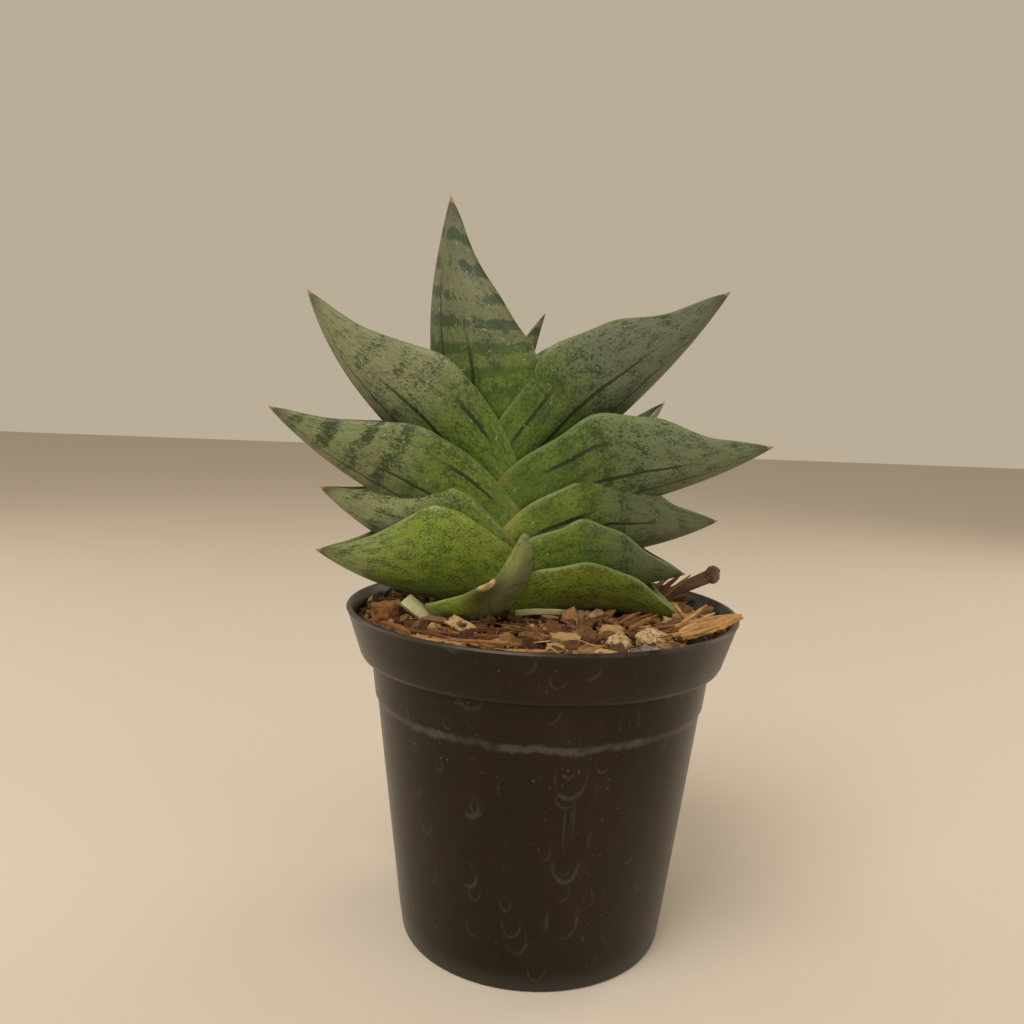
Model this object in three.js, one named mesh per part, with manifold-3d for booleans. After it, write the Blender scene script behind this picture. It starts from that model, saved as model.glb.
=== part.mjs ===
// Potted dwarf snake plant: a two-ranked rosette of boat-shaped leaves in a round nursery pot of bark mix.
// Millimetres, +Z up. The origin is the centre of the pot's underside; the leaf ranks spread along X.

import * as THREE from "three";
import { mergeGeometries, mergeVertices } from "three/addons/utils/BufferGeometryUtils.js";
import Module from "manifold-3d";

// ---------------------------------------------------------------- driving dimensions

// Pot
const POT_HEIGHT = 85;
const RIM_RADIUS = 50;
const BASE_RADIUS = 34.5;
const BODY_TOP_RADIUS = 43.5;
const COLLAR_FOOT_RADIUS = 46;
const COLLAR_HEIGHT = 12.6;
const LEDGE_DROP = 10;
const LEDGE_DEPTH = 0.5;
const LEDGE_SLOPE = 0.8;
const POT_WALL = 1.4;
const POT_FLOOR = 1.8;
const BASE_CHAMFER = 1.2;
const DRAIN_RADIUS = 3;
const DRAIN_CIRCLE_RADIUS = 22;
const DRAIN_COUNT = 6;
const POT_SEGMENTS = 48;

// Potting mix
const MIX_BELOW_RIM = 3.6;
const MIX_MOUND = 1.8;
const MIX_RIPPLE = 0.5;
const MIX_SEGMENTS = 32;
const MIX_RINGS = 6;

// Stem, measured from the mix surface on the stem's axis
const STEM_X = -7.5;
const STEM_LEAN = 0.12;
const STEM_RISE = 36;
const STEM_DEPTH = 26;
const STEM_FOOT_RADIUS = 5.5;
const STEM_TOP_RADIUS = 2.4;
const STEM_SEGMENTS = 10;
const ROOT_RADIUS = 1.6;
const ROOT_REACH = 17;
const ROOT_DROP = 13;
const ROOT_COUNT = 5;

// Leaves
const LEAF_THICKNESS = 2.2;
const MARGIN_THINNING = 0.65;
const BELLY_AT = 0.4;
const NECK_SHARE = 0.42;
const LEAF_ROWS = 12;
const LEAF_COLUMNS = 8;

// Gap between pieces that touch
const CLEARANCE = 0.3;

// ---------------------------------------------------------------- leaf list

// Oldest leaf first: each leaf clasps every leaf that follows it.
// azimuth, pitch (base, middle, tip), sheathRise and roll are in degrees. height is where the midrib
// leaves the stem, above the mix; reach is its distance from the stem's axis there. depth and breadth
// are the boat's depth and half-breadth at the belly; baseDepth and baseBreadth are the same at the stem.
const LEAVES = [
  {
    name: "leaf_front", azimuth: -102, height: -1.5, reach: 2.5, length: 33.5, depth: 12, breadth: 15.5,
    baseDepth: 15.5, baseBreadth: 14.5, pitch: [33, 18, 54], sheathRise: 0, roll: 40, color: 0x5f7a1f,
  },
  {
    name: "leaf_right_1", azimuth: -8, height: -3, reach: 4, length: 42, depth: 14, breadth: 12,
    baseDepth: 12, baseBreadth: 12.2, pitch: [10, 0, -18], sheathRise: 35, roll: 0, color: 0x55701c,
  },
  {
    name: "leaf_left_2", azimuth: 184, height: -1, reach: 4, length: 50, depth: 25, breadth: 13,
    baseDepth: 16, baseBreadth: 11.5, pitch: [0, 14, 36], sheathRise: 35, roll: 0, color: 0x6d7f35,
  },
  {
    name: "leaf_right_2", azimuth: -2, height: 1, reach: 4, length: 42, depth: 20, breadth: 12,
    baseDepth: 15, baseBreadth: 10.9, pitch: [8, 10, 18], sheathRise: 35, roll: 0, color: 0x4d5f35,
  },
  {
    name: "leaf_left_3", azimuth: 177, height: 3, reach: 6, length: 53, depth: 22, breadth: 13,
    baseDepth: 15, baseBreadth: 10.3, pitch: [18, 26, 46], sheathRise: 35, roll: 0, color: 0x66754a,
  },
  {
    name: "leaf_right_3", azimuth: 5, height: 7, reach: 4, length: 54, depth: 23, breadth: 13,
    baseDepth: 15, baseBreadth: 9.6, pitch: [16, 13, 28], sheathRise: 35, roll: 0, color: 0x566548,
  },
  {
    name: "leaf_left_4", azimuth: 184, height: 11.5, reach: 6.5, length: 68, depth: 21, breadth: 13,
    baseDepth: 15, baseBreadth: 8.8, pitch: [24, 30, 48], sheathRise: 35, roll: 0, color: 0x66755a,
  },
  {
    name: "leaf_right_4", azimuth: -4, height: 16, reach: 4, length: 69, depth: 24, breadth: 13,
    baseDepth: 15, baseBreadth: 8, pitch: [20, 19, 34], sheathRise: 35, roll: 0, color: 0x596852,
  },
  {
    name: "leaf_left_5", azimuth: 176, height: 21, reach: 7, length: 76, depth: 24, breadth: 13,
    baseDepth: 15, baseBreadth: 7.2, pitch: [36, 46, 74], sheathRise: 35, roll: 0, color: 0x66765a,
  },
  {
    name: "leaf_right_5", azimuth: 4, height: 25, reach: 5.5, length: 78, depth: 25, breadth: 13,
    baseDepth: 15, baseBreadth: 6.4, pitch: [38, 45, 58], sheathRise: 35, roll: 0, color: 0x5f6d54,
  },
  {
    name: "leaf_crown", azimuth: 178, height: 31, reach: 7, length: 76, depth: 26, breadth: 12,
    baseDepth: 13, baseBreadth: 5.2, pitch: [50, 86, 103], sheathRise: 5, roll: 0, color: 0x64724f,
  },
  {
    name: "leaf_spear", azimuth: 0, height: 37, reach: 3, length: 40, depth: 8, breadth: 5,
    baseDepth: 7, baseBreadth: 3.6, pitch: [82, 80, 75], sheathRise: 5, roll: 0, color: 0x6f8060,
  },
  {
    name: "leaf_back_right", azimuth: 48, height: 6, reach: 6, length: 82, depth: 15, breadth: 9,
    baseDepth: 11, baseBreadth: 7, pitch: [34, 34, 46], sheathRise: 20, roll: 0, color: 0x55653d,
  },
  {
    name: "leaf_back_left", azimuth: 136, height: 2, reach: 6, length: 62, depth: 14, breadth: 9,
    baseDepth: 11, baseBreadth: 8, pitch: [14, 18, 34], sheathRise: 20, roll: 0, color: 0x6d8a2c,
  },
];

// ---------------------------------------------------------------- small helpers

const wasm = await Module();
wasm.setup();

const UP = new THREE.Vector3(0, 0, 1);

const radians = THREE.MathUtils.degToRad;

/** Smooth curve through [place, value] keys, with the slopes taken from each key's neighbours. */
function curveThrough(keys, place) {
  const last = keys.length - 1;
  const slope = (i) => {
    const before = keys[Math.max(i - 1, 0)];
    const after = keys[Math.min(i + 1, last)];
    return (after[1] - before[1]) / (after[0] - before[0]);
  };
  let i = 0;
  while (i < last - 1 && place > keys[i + 1][0]) i += 1;
  const span = keys[i + 1][0] - keys[i][0];
  const u = (place - keys[i][0]) / span;
  const start = keys[i][1] * (1 + 2 * u) * (1 - u) ** 2 + slope(i) * span * u * (1 - u) ** 2;
  const end = keys[i + 1][1] * u * u * (3 - 2 * u) + slope(i + 1) * span * u * u * (u - 1);
  return start + end;
}

/** A repeatable number from 0 to 1 for the pair (seed, index). */
function scatter(seed, index) {
  const wave = Math.sin(seed * 127.1 + index * 311.7) * 43758.5453;
  return wave - Math.floor(wave);
}

/** Merges the shared vertices of a closed geometry, drops collapsed triangles and turns it to face out. */
function closed(source) {
  const geometry = source.clone();
  geometry.deleteAttribute("normal");
  geometry.deleteAttribute("uv");
  const merged = mergeVertices(geometry, 1e-4);
  const points = merged.getAttribute("position");
  const faces = [];
  let volume = 0;
  const [a, b, c] = [new THREE.Vector3(), new THREE.Vector3(), new THREE.Vector3()];
  for (let i = 0; i < merged.index.count; i += 3) {
    const [p, q, r] = [0, 1, 2].map((k) => merged.index.getX(i + k));
    if (p === q || q === r || r === p) continue;
    faces.push([p, q, r]);
    a.fromBufferAttribute(points, p);
    b.fromBufferAttribute(points, q);
    c.fromBufferAttribute(points, r);
    volume += a.dot(b.cross(c));
  }
  if (volume < 0) faces.forEach((face) => face.reverse());
  merged.setIndex(faces.flat());
  return merged;
}

/** The solid of a closed geometry. */
function solidOf(geometry) {
  const source = closed(geometry);
  const vertProperties = Float32Array.from(source.getAttribute("position").array);
  const triVerts = Uint32Array.from(source.index.array);
  return new wasm.Manifold(new wasm.Mesh({ numProp: 3, vertProperties, triVerts }));
}

/** The geometry of a solid. */
function geometryOf(solid) {
  const mesh = solid.getMesh();
  const geometry = new THREE.BufferGeometry();
  geometry.setAttribute("position", new THREE.BufferAttribute(Float32Array.from(mesh.vertProperties), 3));
  geometry.setIndex(Array.from(mesh.triVerts));
  return geometry;
}

/** The largest separate body of a solid, which is what stays after its neighbours are cut away. */
function largestBody(solid) {
  const bodies = solid.decompose();
  return bodies.reduce((best, body) => (body.volume() > best.volume() ? body : best));
}

/** A named mesh, set at a point of its own. */
function piece(name, geometry, color, roughness, at = new THREE.Vector3()) {
  const local = geometry.clone();
  local.translate(-at.x, -at.y, -at.z);
  local.computeVertexNormals();
  const material = new THREE.MeshStandardMaterial({ color, roughness, metalness: 0 });
  const mesh = new THREE.Mesh(local, material);
  mesh.name = name;
  mesh.position.copy(at);
  return mesh;
}

// ---------------------------------------------------------------- pot

const COLLAR_FOOT = POT_HEIGHT - COLLAR_HEIGHT;
const LEDGE_TOP = COLLAR_FOOT - LEDGE_DROP;

/** Radius of the pot's tapered body, above the stacking ledge, at a height. */
function bodyRadius(z) {
  return THREE.MathUtils.mapLinear(z, 0, COLLAR_FOOT, BASE_RADIUS, BODY_TOP_RADIUS);
}

/** Radius inside the collar at a height. */
function collarInnerRadius(z) {
  return THREE.MathUtils.mapLinear(z, COLLAR_FOOT, POT_HEIGHT, COLLAR_FOOT_RADIUS, RIM_RADIUS) - POT_WALL;
}

function potGeometry() {
  const outline = [
    [0, 0],
    [BASE_RADIUS - BASE_CHAMFER, 0],
    [BASE_RADIUS - LEDGE_DEPTH, BASE_CHAMFER],
    [bodyRadius(LEDGE_TOP - LEDGE_SLOPE) - LEDGE_DEPTH, LEDGE_TOP - LEDGE_SLOPE],
    [bodyRadius(LEDGE_TOP), LEDGE_TOP],
    [BODY_TOP_RADIUS, COLLAR_FOOT],
    [COLLAR_FOOT_RADIUS - POT_WALL / 2, COLLAR_FOOT],
    [COLLAR_FOOT_RADIUS, COLLAR_FOOT + POT_WALL / 2],
    [RIM_RADIUS, POT_HEIGHT - POT_WALL / 3],
    [RIM_RADIUS - POT_WALL / 3, POT_HEIGHT],
    [collarInnerRadius(POT_HEIGHT), POT_HEIGHT],
    [collarInnerRadius(COLLAR_FOOT + POT_WALL), COLLAR_FOOT + POT_WALL],
    [BODY_TOP_RADIUS - POT_WALL, COLLAR_FOOT + POT_WALL],
    [bodyRadius(LEDGE_TOP) - POT_WALL, LEDGE_TOP],
    [bodyRadius(LEDGE_TOP - LEDGE_SLOPE) - LEDGE_DEPTH - POT_WALL, LEDGE_TOP - LEDGE_SLOPE],
    [bodyRadius(POT_FLOOR) - LEDGE_DEPTH - POT_WALL, POT_FLOOR],
    [0, POT_FLOOR],
  ];
  const wall = new THREE.LatheGeometry(outline.map(([r, z]) => new THREE.Vector2(r, z)), POT_SEGMENTS);
  wall.rotateX(Math.PI / 2);
  let solid = solidOf(wall);
  for (let i = 0; i < DRAIN_COUNT; i += 1) {
    const turn = (i / DRAIN_COUNT) * 2 * Math.PI;
    const drain = new THREE.CylinderGeometry(DRAIN_RADIUS, DRAIN_RADIUS, POT_FLOOR * 3, 10);
    drain.rotateX(Math.PI / 2);
    drain.translate(DRAIN_CIRCLE_RADIUS * Math.cos(turn), DRAIN_CIRCLE_RADIUS * Math.sin(turn), 0);
    solid = solid.subtract(solidOf(drain));
  }
  return geometryOf(solid);
}

// ---------------------------------------------------------------- potting mix

const MIX_LEVEL = POT_HEIGHT - MIX_BELOW_RIM;

/** Radius of the mix at a height: the pot's inner wall less the clearance. */
function mixRadius(z) {
  if (z > COLLAR_FOOT + POT_WALL) return collarInnerRadius(z) - CLEARANCE;
  const ledge = z < LEDGE_TOP ? LEDGE_DEPTH : 0;
  return bodyRadius(z) - ledge - POT_WALL - CLEARANCE;
}

/** Height of the mix surface: a low mound with shallow ripples that die out at the wall. */
function mixSurface(x, y) {
  const share = Math.min(Math.hypot(x, y) / mixRadius(MIX_LEVEL), 1);
  const ripple = Math.sin(x * 0.31 + 1.3) * Math.cos(y * 0.27 + 0.4) * MIX_RIPPLE * (1 - share ** 4);
  return MIX_LEVEL + MIX_MOUND * (1 - share ** 2) + ripple;
}

function mixGeometry() {
  const foot = POT_FLOOR + CLEARANCE;
  const shoulder = COLLAR_FOOT + POT_WALL + CLEARANCE;
  const side = [
    [0, foot],
    [mixRadius(foot), foot],
    [mixRadius(LEDGE_TOP - LEDGE_SLOPE), LEDGE_TOP - LEDGE_SLOPE],
    [mixRadius(LEDGE_TOP + LEDGE_SLOPE), LEDGE_TOP + LEDGE_SLOPE],
    [mixRadius(COLLAR_FOOT), shoulder],
    [collarInnerRadius(shoulder) - CLEARANCE, shoulder],
  ];
  const rings = Array.from({ length: MIX_RINGS }, (_, i) => {
    const share = 1 - i / (MIX_RINGS - 1);
    return [mixRadius(MIX_LEVEL) * share, MIX_LEVEL];
  });
  const outline = [...side, ...rings].map(([r, z]) => new THREE.Vector2(r, z));
  const mix = new THREE.LatheGeometry(outline, MIX_SEGMENTS);
  mix.rotateX(Math.PI / 2);
  const points = mix.getAttribute("position");
  for (let i = 0; i < points.count; i += 1) {
    if (points.getZ(i) > MIX_LEVEL - CLEARANCE) {
      points.setZ(i, mixSurface(points.getX(i), points.getY(i)));
    }
  }
  return mix;
}

// ---------------------------------------------------------------- stem and roots

const STEM_Z = mixSurface(STEM_X, 0);

/** A point on the stem's axis at a height above the mix. */
function stemAxis(height) {
  return new THREE.Vector3(STEM_X - STEM_LEAN * height, 0, STEM_Z + height);
}

function stemGeometry(grow) {
  const foot = -STEM_DEPTH - grow;
  const outline = [
    [0, foot],
    [STEM_FOOT_RADIUS * 0.6 + grow, foot],
    [STEM_FOOT_RADIUS + grow, -STEM_DEPTH / 2],
    [STEM_FOOT_RADIUS + grow, 0],
    [STEM_TOP_RADIUS + grow, STEM_RISE - STEM_TOP_RADIUS],
    [STEM_TOP_RADIUS * 0.6 + grow, STEM_RISE + grow],
    [0, STEM_RISE + grow],
  ];
  const stem = new THREE.LatheGeometry(outline.map(([r, z]) => new THREE.Vector2(r, z)), STEM_SEGMENTS);
  stem.rotateX(Math.PI / 2);
  const points = stem.getAttribute("position");
  for (let i = 0; i < points.count; i += 1) {
    points.setX(i, points.getX(i) - STEM_LEAN * points.getZ(i));
  }
  stem.translate(STEM_X, 0, STEM_Z);
  return stem;
}

/** One root: a bent tube that starts inside the stem and runs out and down through the mix. */
function rootGeometry(index, grow) {
  const turn = (index / ROOT_COUNT) * 2 * Math.PI + 0.5;
  const out = new THREE.Vector3(Math.cos(turn), Math.sin(turn), 0);
  const start = stemAxis(-STEM_DEPTH * 0.55);
  const bend = start.clone().addScaledVector(out, ROOT_REACH * 0.6).addScaledVector(UP, -ROOT_DROP * 0.25);
  const end = start.clone().addScaledVector(out, ROOT_REACH + grow).addScaledVector(UP, -ROOT_DROP - grow);
  const section = new THREE.Shape().absarc(0, 0, ROOT_RADIUS + grow, 0, 2 * Math.PI);
  return new THREE.ExtrudeGeometry(section, {
    curveSegments: 5,
    steps: 4,
    bevelEnabled: false,
    extrudePath: new THREE.QuadraticBezierCurve3(start, bend, end),
  });
}

function rootstockSolid(grow) {
  let solid = solidOf(stemGeometry(grow));
  for (let i = 0; i < ROOT_COUNT; i += 1) {
    solid = solid.add(solidOf(rootGeometry(i, grow)));
  }
  return solid;
}

// ---------------------------------------------------------------- leaves

/** Depth or breadth of a leaf at a place along it, from its values at the base and at the belly. */
function leafTaper(base, full, place) {
  const rest = 1 - BELLY_AT;
  const keys = [
    [0, base],
    [BELLY_AT * 0.5, base * 0.38 + full * 0.62],
    [BELLY_AT, full],
    [BELLY_AT + rest * 0.35, full * 0.8],
    [BELLY_AT + rest * 0.65, full * NECK_SHARE],
    [BELLY_AT + rest * 0.88, full * NECK_SHARE * 0.38],
    [1, 0],
  ];
  return Math.max(curveThrough(keys, place), 0);
}

/** Angle, from the keel round to the margin, that the leaf's section sweeps: over 90 at the clasping base. */
function sectionSweep(place) {
  return radians(curveThrough([[0, 115], [0.25, 96], [0.5, 90], [1, 90]], place));
}

/** Pitch of the midrib at a place along the leaf. */
function leafPitch(leaf, place) {
  const [base, middle, tip] = leaf.pitch;
  const arc = base * (1 - place) * (1 - 2 * place) + 4 * middle * place * (1 - place);
  const sheath = leaf.sheathRise * Math.max(1 - place / 0.3, 0) ** 2;
  return radians(arc + tip * place * (2 * place - 1) + sheath);
}

/** The frames along a leaf: midrib point, across direction and direction into the channel. */
function leafFrames(leaf, grow) {
  const turn = radians(leaf.azimuth);
  const out = new THREE.Vector3(Math.cos(turn), Math.sin(turn), 0);
  const across = new THREE.Vector3().crossVectors(UP, out);
  const point = stemAxis(leaf.height).addScaledVector(out, leaf.reach);
  const step = leaf.length / LEAF_ROWS;
  const frames = [];
  for (let row = 0; row <= LEAF_ROWS; row += 1) {
    const place = row / LEAF_ROWS;
    const pitch = leafPitch(leaf, place);
    const along = out.clone().multiplyScalar(Math.cos(pitch)).addScaledVector(UP, Math.sin(pitch));
    const into = new THREE.Vector3().crossVectors(along, across);
    const roll = radians(leaf.roll);
    const ends = { 0: -grow, [LEAF_ROWS]: 2 * grow };
    frames.push({
      place,
      point: point.clone().addScaledVector(along, ends[row] ?? 0),
      across: across.clone().multiplyScalar(Math.cos(roll)).addScaledVector(into, Math.sin(roll)),
      into: into.clone().multiplyScalar(Math.cos(roll)).addScaledVector(across, -Math.sin(roll)),
    });
    const next = leafPitch(leaf, place + 0.5 / LEAF_ROWS);
    point.addScaledVector(out, step * Math.cos(next)).addScaledVector(UP, step * Math.sin(next));
  }
  return frames;
}

/** A point of the leaf's outer or inner face; side runs from -1 at one margin to 1 at the other. */
function leafPoint(leaf, frame, side, inner, grow) {
  const taper = grow > 0 ? Math.min((1 - frame.place) * 8, 1) : 1;
  const depth = leafTaper(leaf.baseDepth, leaf.depth, frame.place) + 2 * grow * taper;
  const breadth = leafTaper(leaf.baseBreadth, leaf.breadth, frame.place) + grow * taper;
  const sweep = sectionSweep(frame.place);
  const angle = sweep * Math.abs(side);
  const hand = Math.sign(side);
  const rise = depth / (1 - Math.cos(sweep));
  const x = breadth * Math.sin(angle);
  const y = rise * (1 - Math.cos(angle)) - grow * taper;
  const result = frame.point.clone().addScaledVector(frame.across, hand * x).addScaledVector(frame.into, y);
  if (!inner) return result;
  const tangent = new THREE.Vector2(breadth * Math.cos(angle), rise * Math.sin(angle));
  tangent.normalize();
  const thinning = 1 - MARGIN_THINNING * Math.abs(side) ** 2.2;
  const young = 0.55 + 0.45 * THREE.MathUtils.smoothstep(frame.place, 0, 0.3);
  const limit = 0.5 * Math.min(breadth, depth);
  const thickness = Math.min(LEAF_THICKNESS * thinning * young + 2 * grow * taper, limit);
  result.addScaledVector(frame.across, -hand * tangent.y * thickness);
  result.addScaledVector(frame.into, tangent.x * thickness);
  return result;
}

/** Moves the grid of a plane to the points that place(column share, row share) gives. */
function sheet(columns, rows, place) {
  const grid = new THREE.PlaneGeometry(1, 1, columns, rows);
  const points = grid.getAttribute("position");
  for (let row = 0; row <= rows; row += 1) {
    for (let column = 0; column <= columns; column += 1) {
      const point = place(column, row);
      points.setXYZ(row * (columns + 1) + column, point.x, point.y, point.z);
    }
  }
  return grid;
}

/** A leaf: one skin that runs round the section from margin to margin and back, closed at the base. */
function leafGeometry(leaf, grow = 0) {
  const frames = leafFrames(leaf, grow);
  const side = (column) => (column / LEAF_COLUMNS) * 2 - 1;
  const around = 2 * LEAF_COLUMNS + 2;
  const skin = sheet(around, LEAF_ROWS, (column, row) => {
    const turn = column % around;
    const inner = turn > LEAF_COLUMNS;
    const back = 2 * LEAF_COLUMNS + 1 - turn;
    return leafPoint(leaf, frames[row], side(inner ? back : turn), inner, grow);
  });
  const cap = sheet(LEAF_COLUMNS, 1, (column, row) =>
    leafPoint(leaf, frames[0], side(column), row === 0, grow));
  return mergeGeometries([skin, cap]);
}

// ---------------------------------------------------------------- loose pieces

/** A flat chip: an uneven polygon of the given length, width and thickness, with chamfered faces. */
function chipGeometry({ length, width, thickness, seed, corners = 7 }, grow = 0) {
  const shape = new THREE.Shape();
  for (let i = 0; i < corners; i += 1) {
    const turn = ((i + 0.5 * scatter(seed, i)) / corners) * 2 * Math.PI;
    const share = 0.78 + 0.22 * scatter(seed, i + 20);
    const x = (length / 2) * share * Math.cos(turn) + grow * Math.sign(Math.cos(turn));
    const y = (width / 2) * share * Math.sin(turn) + grow * Math.sign(Math.sin(turn));
    if (i === 0) shape.moveTo(x, y);
    else shape.lineTo(x, y);
  }
  shape.closePath();
  const chip = new THREE.ExtrudeGeometry(shape, { depth: thickness + 2 * grow, bevelEnabled: false });
  chip.translate(0, 0, -thickness / 2 - grow);
  return chip;
}

/** A pebble: a faceted ball with an uneven surface. */
function pebbleGeometry({ length, width, thickness, seed }, grow = 0) {
  const ball = new THREE.IcosahedronGeometry(1, 0);
  const points = ball.getAttribute("position");
  for (let i = 0; i < points.count; i += 1) {
    const [x, y, z] = [points.getX(i), points.getY(i), points.getZ(i)];
    const uneven = 1 + 0.1 * Math.sin(3.1 * x + seed) * Math.cos(2.7 * y - seed) + 0.05 * Math.sin(4 * z + seed);
    const across = width / 2 + grow;
    points.setXYZ(i, x * uneven * (length / 2 + grow), y * uneven * across, z * uneven * (thickness / 2 + grow));
  }
  return ball;
}

const BARK = [0x9a6b3c, 0x7a4a26, 0xb08850, 0x5f3b22, 0xa87a45];

// Mix radius that the places of the loose pieces below are given for
const LAYOUT_RADIUS = 47.157;

/** The piece with its place spread to suit the mix's radius. */
function spread(item) {
  const share = mixRadius(MIX_LEVEL) / LAYOUT_RADIUS;
  return { ...item, x: item.x * share, y: item.y * share };
}

// Chips, slivers and pebbles that show by themselves on the mix. x and y are where each lies, sink is how
// far its middle is below the mix surface, spin turns it about Z and tilt lifts its front end, in degrees.
const FEATURED = [
  { name: "bark_round", x: 15.5, y: -23, length: 9, width: 8, thickness: 2.6, spin: 15, tilt: 14, color: 0xa98a4c },
  { name: "bark_block_front", x: 1, y: -39, length: 9, width: 6, thickness: 3, spin: 70, tilt: 10, color: 0xab7c42 },
  { name: "bark_block_centre", x: 4, y: -31, length: 10, width: 6, thickness: 3, spin: -20, tilt: 12, color: 0x8f6535 },
  { name: "bark_plate_front", x: -15, y: -38, length: 14, width: 6, thickness: 2.4, spin: 8, tilt: 4, color: 0xa9824a },
  { name: "bark_plate_left", x: -28, y: -31, length: 10, width: 6, thickness: 2.6, spin: 40, tilt: -8, color: 0xa0562a },
  { name: "bark_plate_right", x: 25, y: -19, length: 15, width: 5.5, thickness: 2.6, spin: 4, tilt: 3, color: 0x935f33 },
  { name: "bark_sliver_1", x: 22, y: -13.5, length: 12, width: 2, thickness: 1.8, spin: 40, tilt: 10, color: 0x6d4a30 },
  { name: "bark_sliver_2", x: 12, y: -44, length: 8, width: 3, thickness: 2, spin: 12, tilt: 6, color: 0xa58250 },
];

const PEBBLES = [
  { name: "pebble_cream_1", x: 15.5, y: -34, length: 7.5, width: 6, thickness: 6.5, color: 0xb5a582 },
  { name: "pebble_cream_2", x: 23.5, y: -30, length: 9.5, width: 6.5, thickness: 7.5, color: 0xbf9a55 },
  { name: "pebble_grey_1", x: 20.5, y: -39, length: 9.5, width: 5.5, thickness: 5.5, color: 0x5d5748 },
  { name: "pebble_grey_2", x: 35, y: -25.5, length: 8, width: 5.5, thickness: 4.5, color: 0x877a68 },
  { name: "pebble_grey_3", x: -30, y: 27, length: 8, width: 6, thickness: 5, color: 0x77705f },
];

const RING_CHIP_COUNT = 10;
const RING_CHIP_START = 28;
const RING_CHIP_SPAN = 172;
const RING_CHIP_INSET = 9;

/** Chips spread along the back of the pot, a set distance in from the wall. */
function ringChips() {
  return Array.from({ length: RING_CHIP_COUNT }, (_, i) => {
    const turn = radians(RING_CHIP_START + (RING_CHIP_SPAN * i) / (RING_CHIP_COUNT - 1));
    const reach = mixRadius(MIX_LEVEL) - RING_CHIP_INSET;
    return {
      name: `bark_chip_${String(i + 1).padStart(2, "0")}`,
      x: reach * Math.cos(turn),
      y: reach * Math.sin(turn),
      length: 8 + 4 * scatter(i, 1),
      width: 5 + 2 * scatter(i, 2),
      thickness: 2.2 + scatter(i, 3),
      spin: 180 * scatter(i, 4),
      tilt: 16 * scatter(i, 5) - 8,
      color: BARK[i % BARK.length],
    };
  });
}

// Height of a loose piece's middle above the mix, as a share of its thickness
const BEDDED_SHARE = 0.22;

/** Sets a loose piece's geometry on the mix, part sunk in it. */
function bedded(item, build, grow) {
  const geometry = build(item, grow);
  geometry.rotateX(radians(item.tilt ?? 0));
  geometry.rotateZ(radians(item.spin ?? 0));
  geometry.translate(item.x, item.y, mixSurface(item.x, item.y) + item.thickness * BEDDED_SHARE);
  return geometry;
}

// Long husk flake that rises over the rim, and the chunk of husk at the opposite wall
const FLAKE = {
  name: "husk_flake", length: 22, width: 6.5, thickness: 1.6, seed: 4, corners: 8, spin: 30, lift: 12, color: 0xa9793f,
};
const CHUNK = { name: "husk_chunk", length: 12, width: 8, thickness: 8, seed: 9, spin: 62, color: 0x7d4a2b };
const CHUNK_INSET = 5.7;
const CHUNK_RISE = 1.6;
const CHUNK_AZIMUTH = 199;
const FLAKE_AZIMUTH = -35;
const FLAKE_INSET = 4;

/** The flake, leaning on the rim: its middle is FLAKE_INSET inside the rim, and it clears the rim's top. */
function flakeGeometry(grow) {
  const flake = chipGeometry(FLAKE, grow);
  const lift = radians(FLAKE.lift);
  flake.rotateY(-lift);
  flake.rotateZ(radians(FLAKE.spin));
  const turn = radians(FLAKE_AZIMUTH);
  const reach = RIM_RADIUS - FLAKE_INSET;
  const rest = POT_HEIGHT + CLEARANCE + (FLAKE.thickness / 2) / Math.cos(lift) + FLAKE_INSET * 0.1;
  flake.translate(reach * Math.cos(turn), reach * Math.sin(turn), rest);
  return flake;
}

/** The chunk, CHUNK_INSET in from the wall at the height of its own underside. */
function chunkGeometry(grow) {
  const chunk = chipGeometry(CHUNK, grow);
  chunk.rotateZ(radians(CHUNK.spin));
  const turn = radians(CHUNK_AZIMUTH);
  const middle = MIX_LEVEL + CHUNK_RISE;
  const reach = mixRadius(middle - CHUNK.thickness / 2) - CHUNK_INSET;
  chunk.translate(reach * Math.cos(turn), reach * Math.sin(turn), middle);
  return chunk;
}

// Twig: a thick foot in the mix, and one arm that rises past the rim to a blunt knob
const TWIG_X = 30;
const TWIG_Y = 17;
const TWIG_ARM = 19;
const TWIG_RISE = 9;
const TWIG_RADIUS = 1.9;
const TWIG_FOOT_RADIUS = 4.2;
const TWIG_KNOB_RADIUS = 2.8;
const TWIG_FORK_X = -3;
const TWIG_FORK_Y = -1.5;
const TWIG_FORK_RISE = 7.2;

function twigSolid(grow) {
  const foot = new THREE.Vector3(TWIG_X, TWIG_Y, mixSurface(TWIG_X, TWIG_Y));
  const tip = foot.clone().add(new THREE.Vector3(TWIG_ARM, 1, TWIG_RISE));
  const fork = foot.clone().add(new THREE.Vector3(TWIG_FORK_X, TWIG_FORK_Y, TWIG_FORK_RISE));
  const arm = new THREE.Shape().absarc(0, 0, TWIG_RADIUS + grow, 0, 2 * Math.PI);
  const tube = (start, end) =>
    new THREE.ExtrudeGeometry(arm, {
      curveSegments: 5,
      steps: 2,
      bevelEnabled: false,
      extrudePath: new THREE.LineCurve3(start, end),
    });
  const block = new THREE.IcosahedronGeometry(TWIG_FOOT_RADIUS + grow, 1);
  block.scale(1, 0.8, 0.9);
  block.translate(foot.x, foot.y, foot.z + 1);
  const knob = new THREE.IcosahedronGeometry(TWIG_KNOB_RADIUS + grow, 1);
  knob.scale(0.8, 0.9, 1);
  knob.translate(tip.x, tip.y, tip.z);
  return solidOf(tube(foot, tip)).add(solidOf(tube(foot, fork))).add(solidOf(block)).add(solidOf(knob));
}

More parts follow.
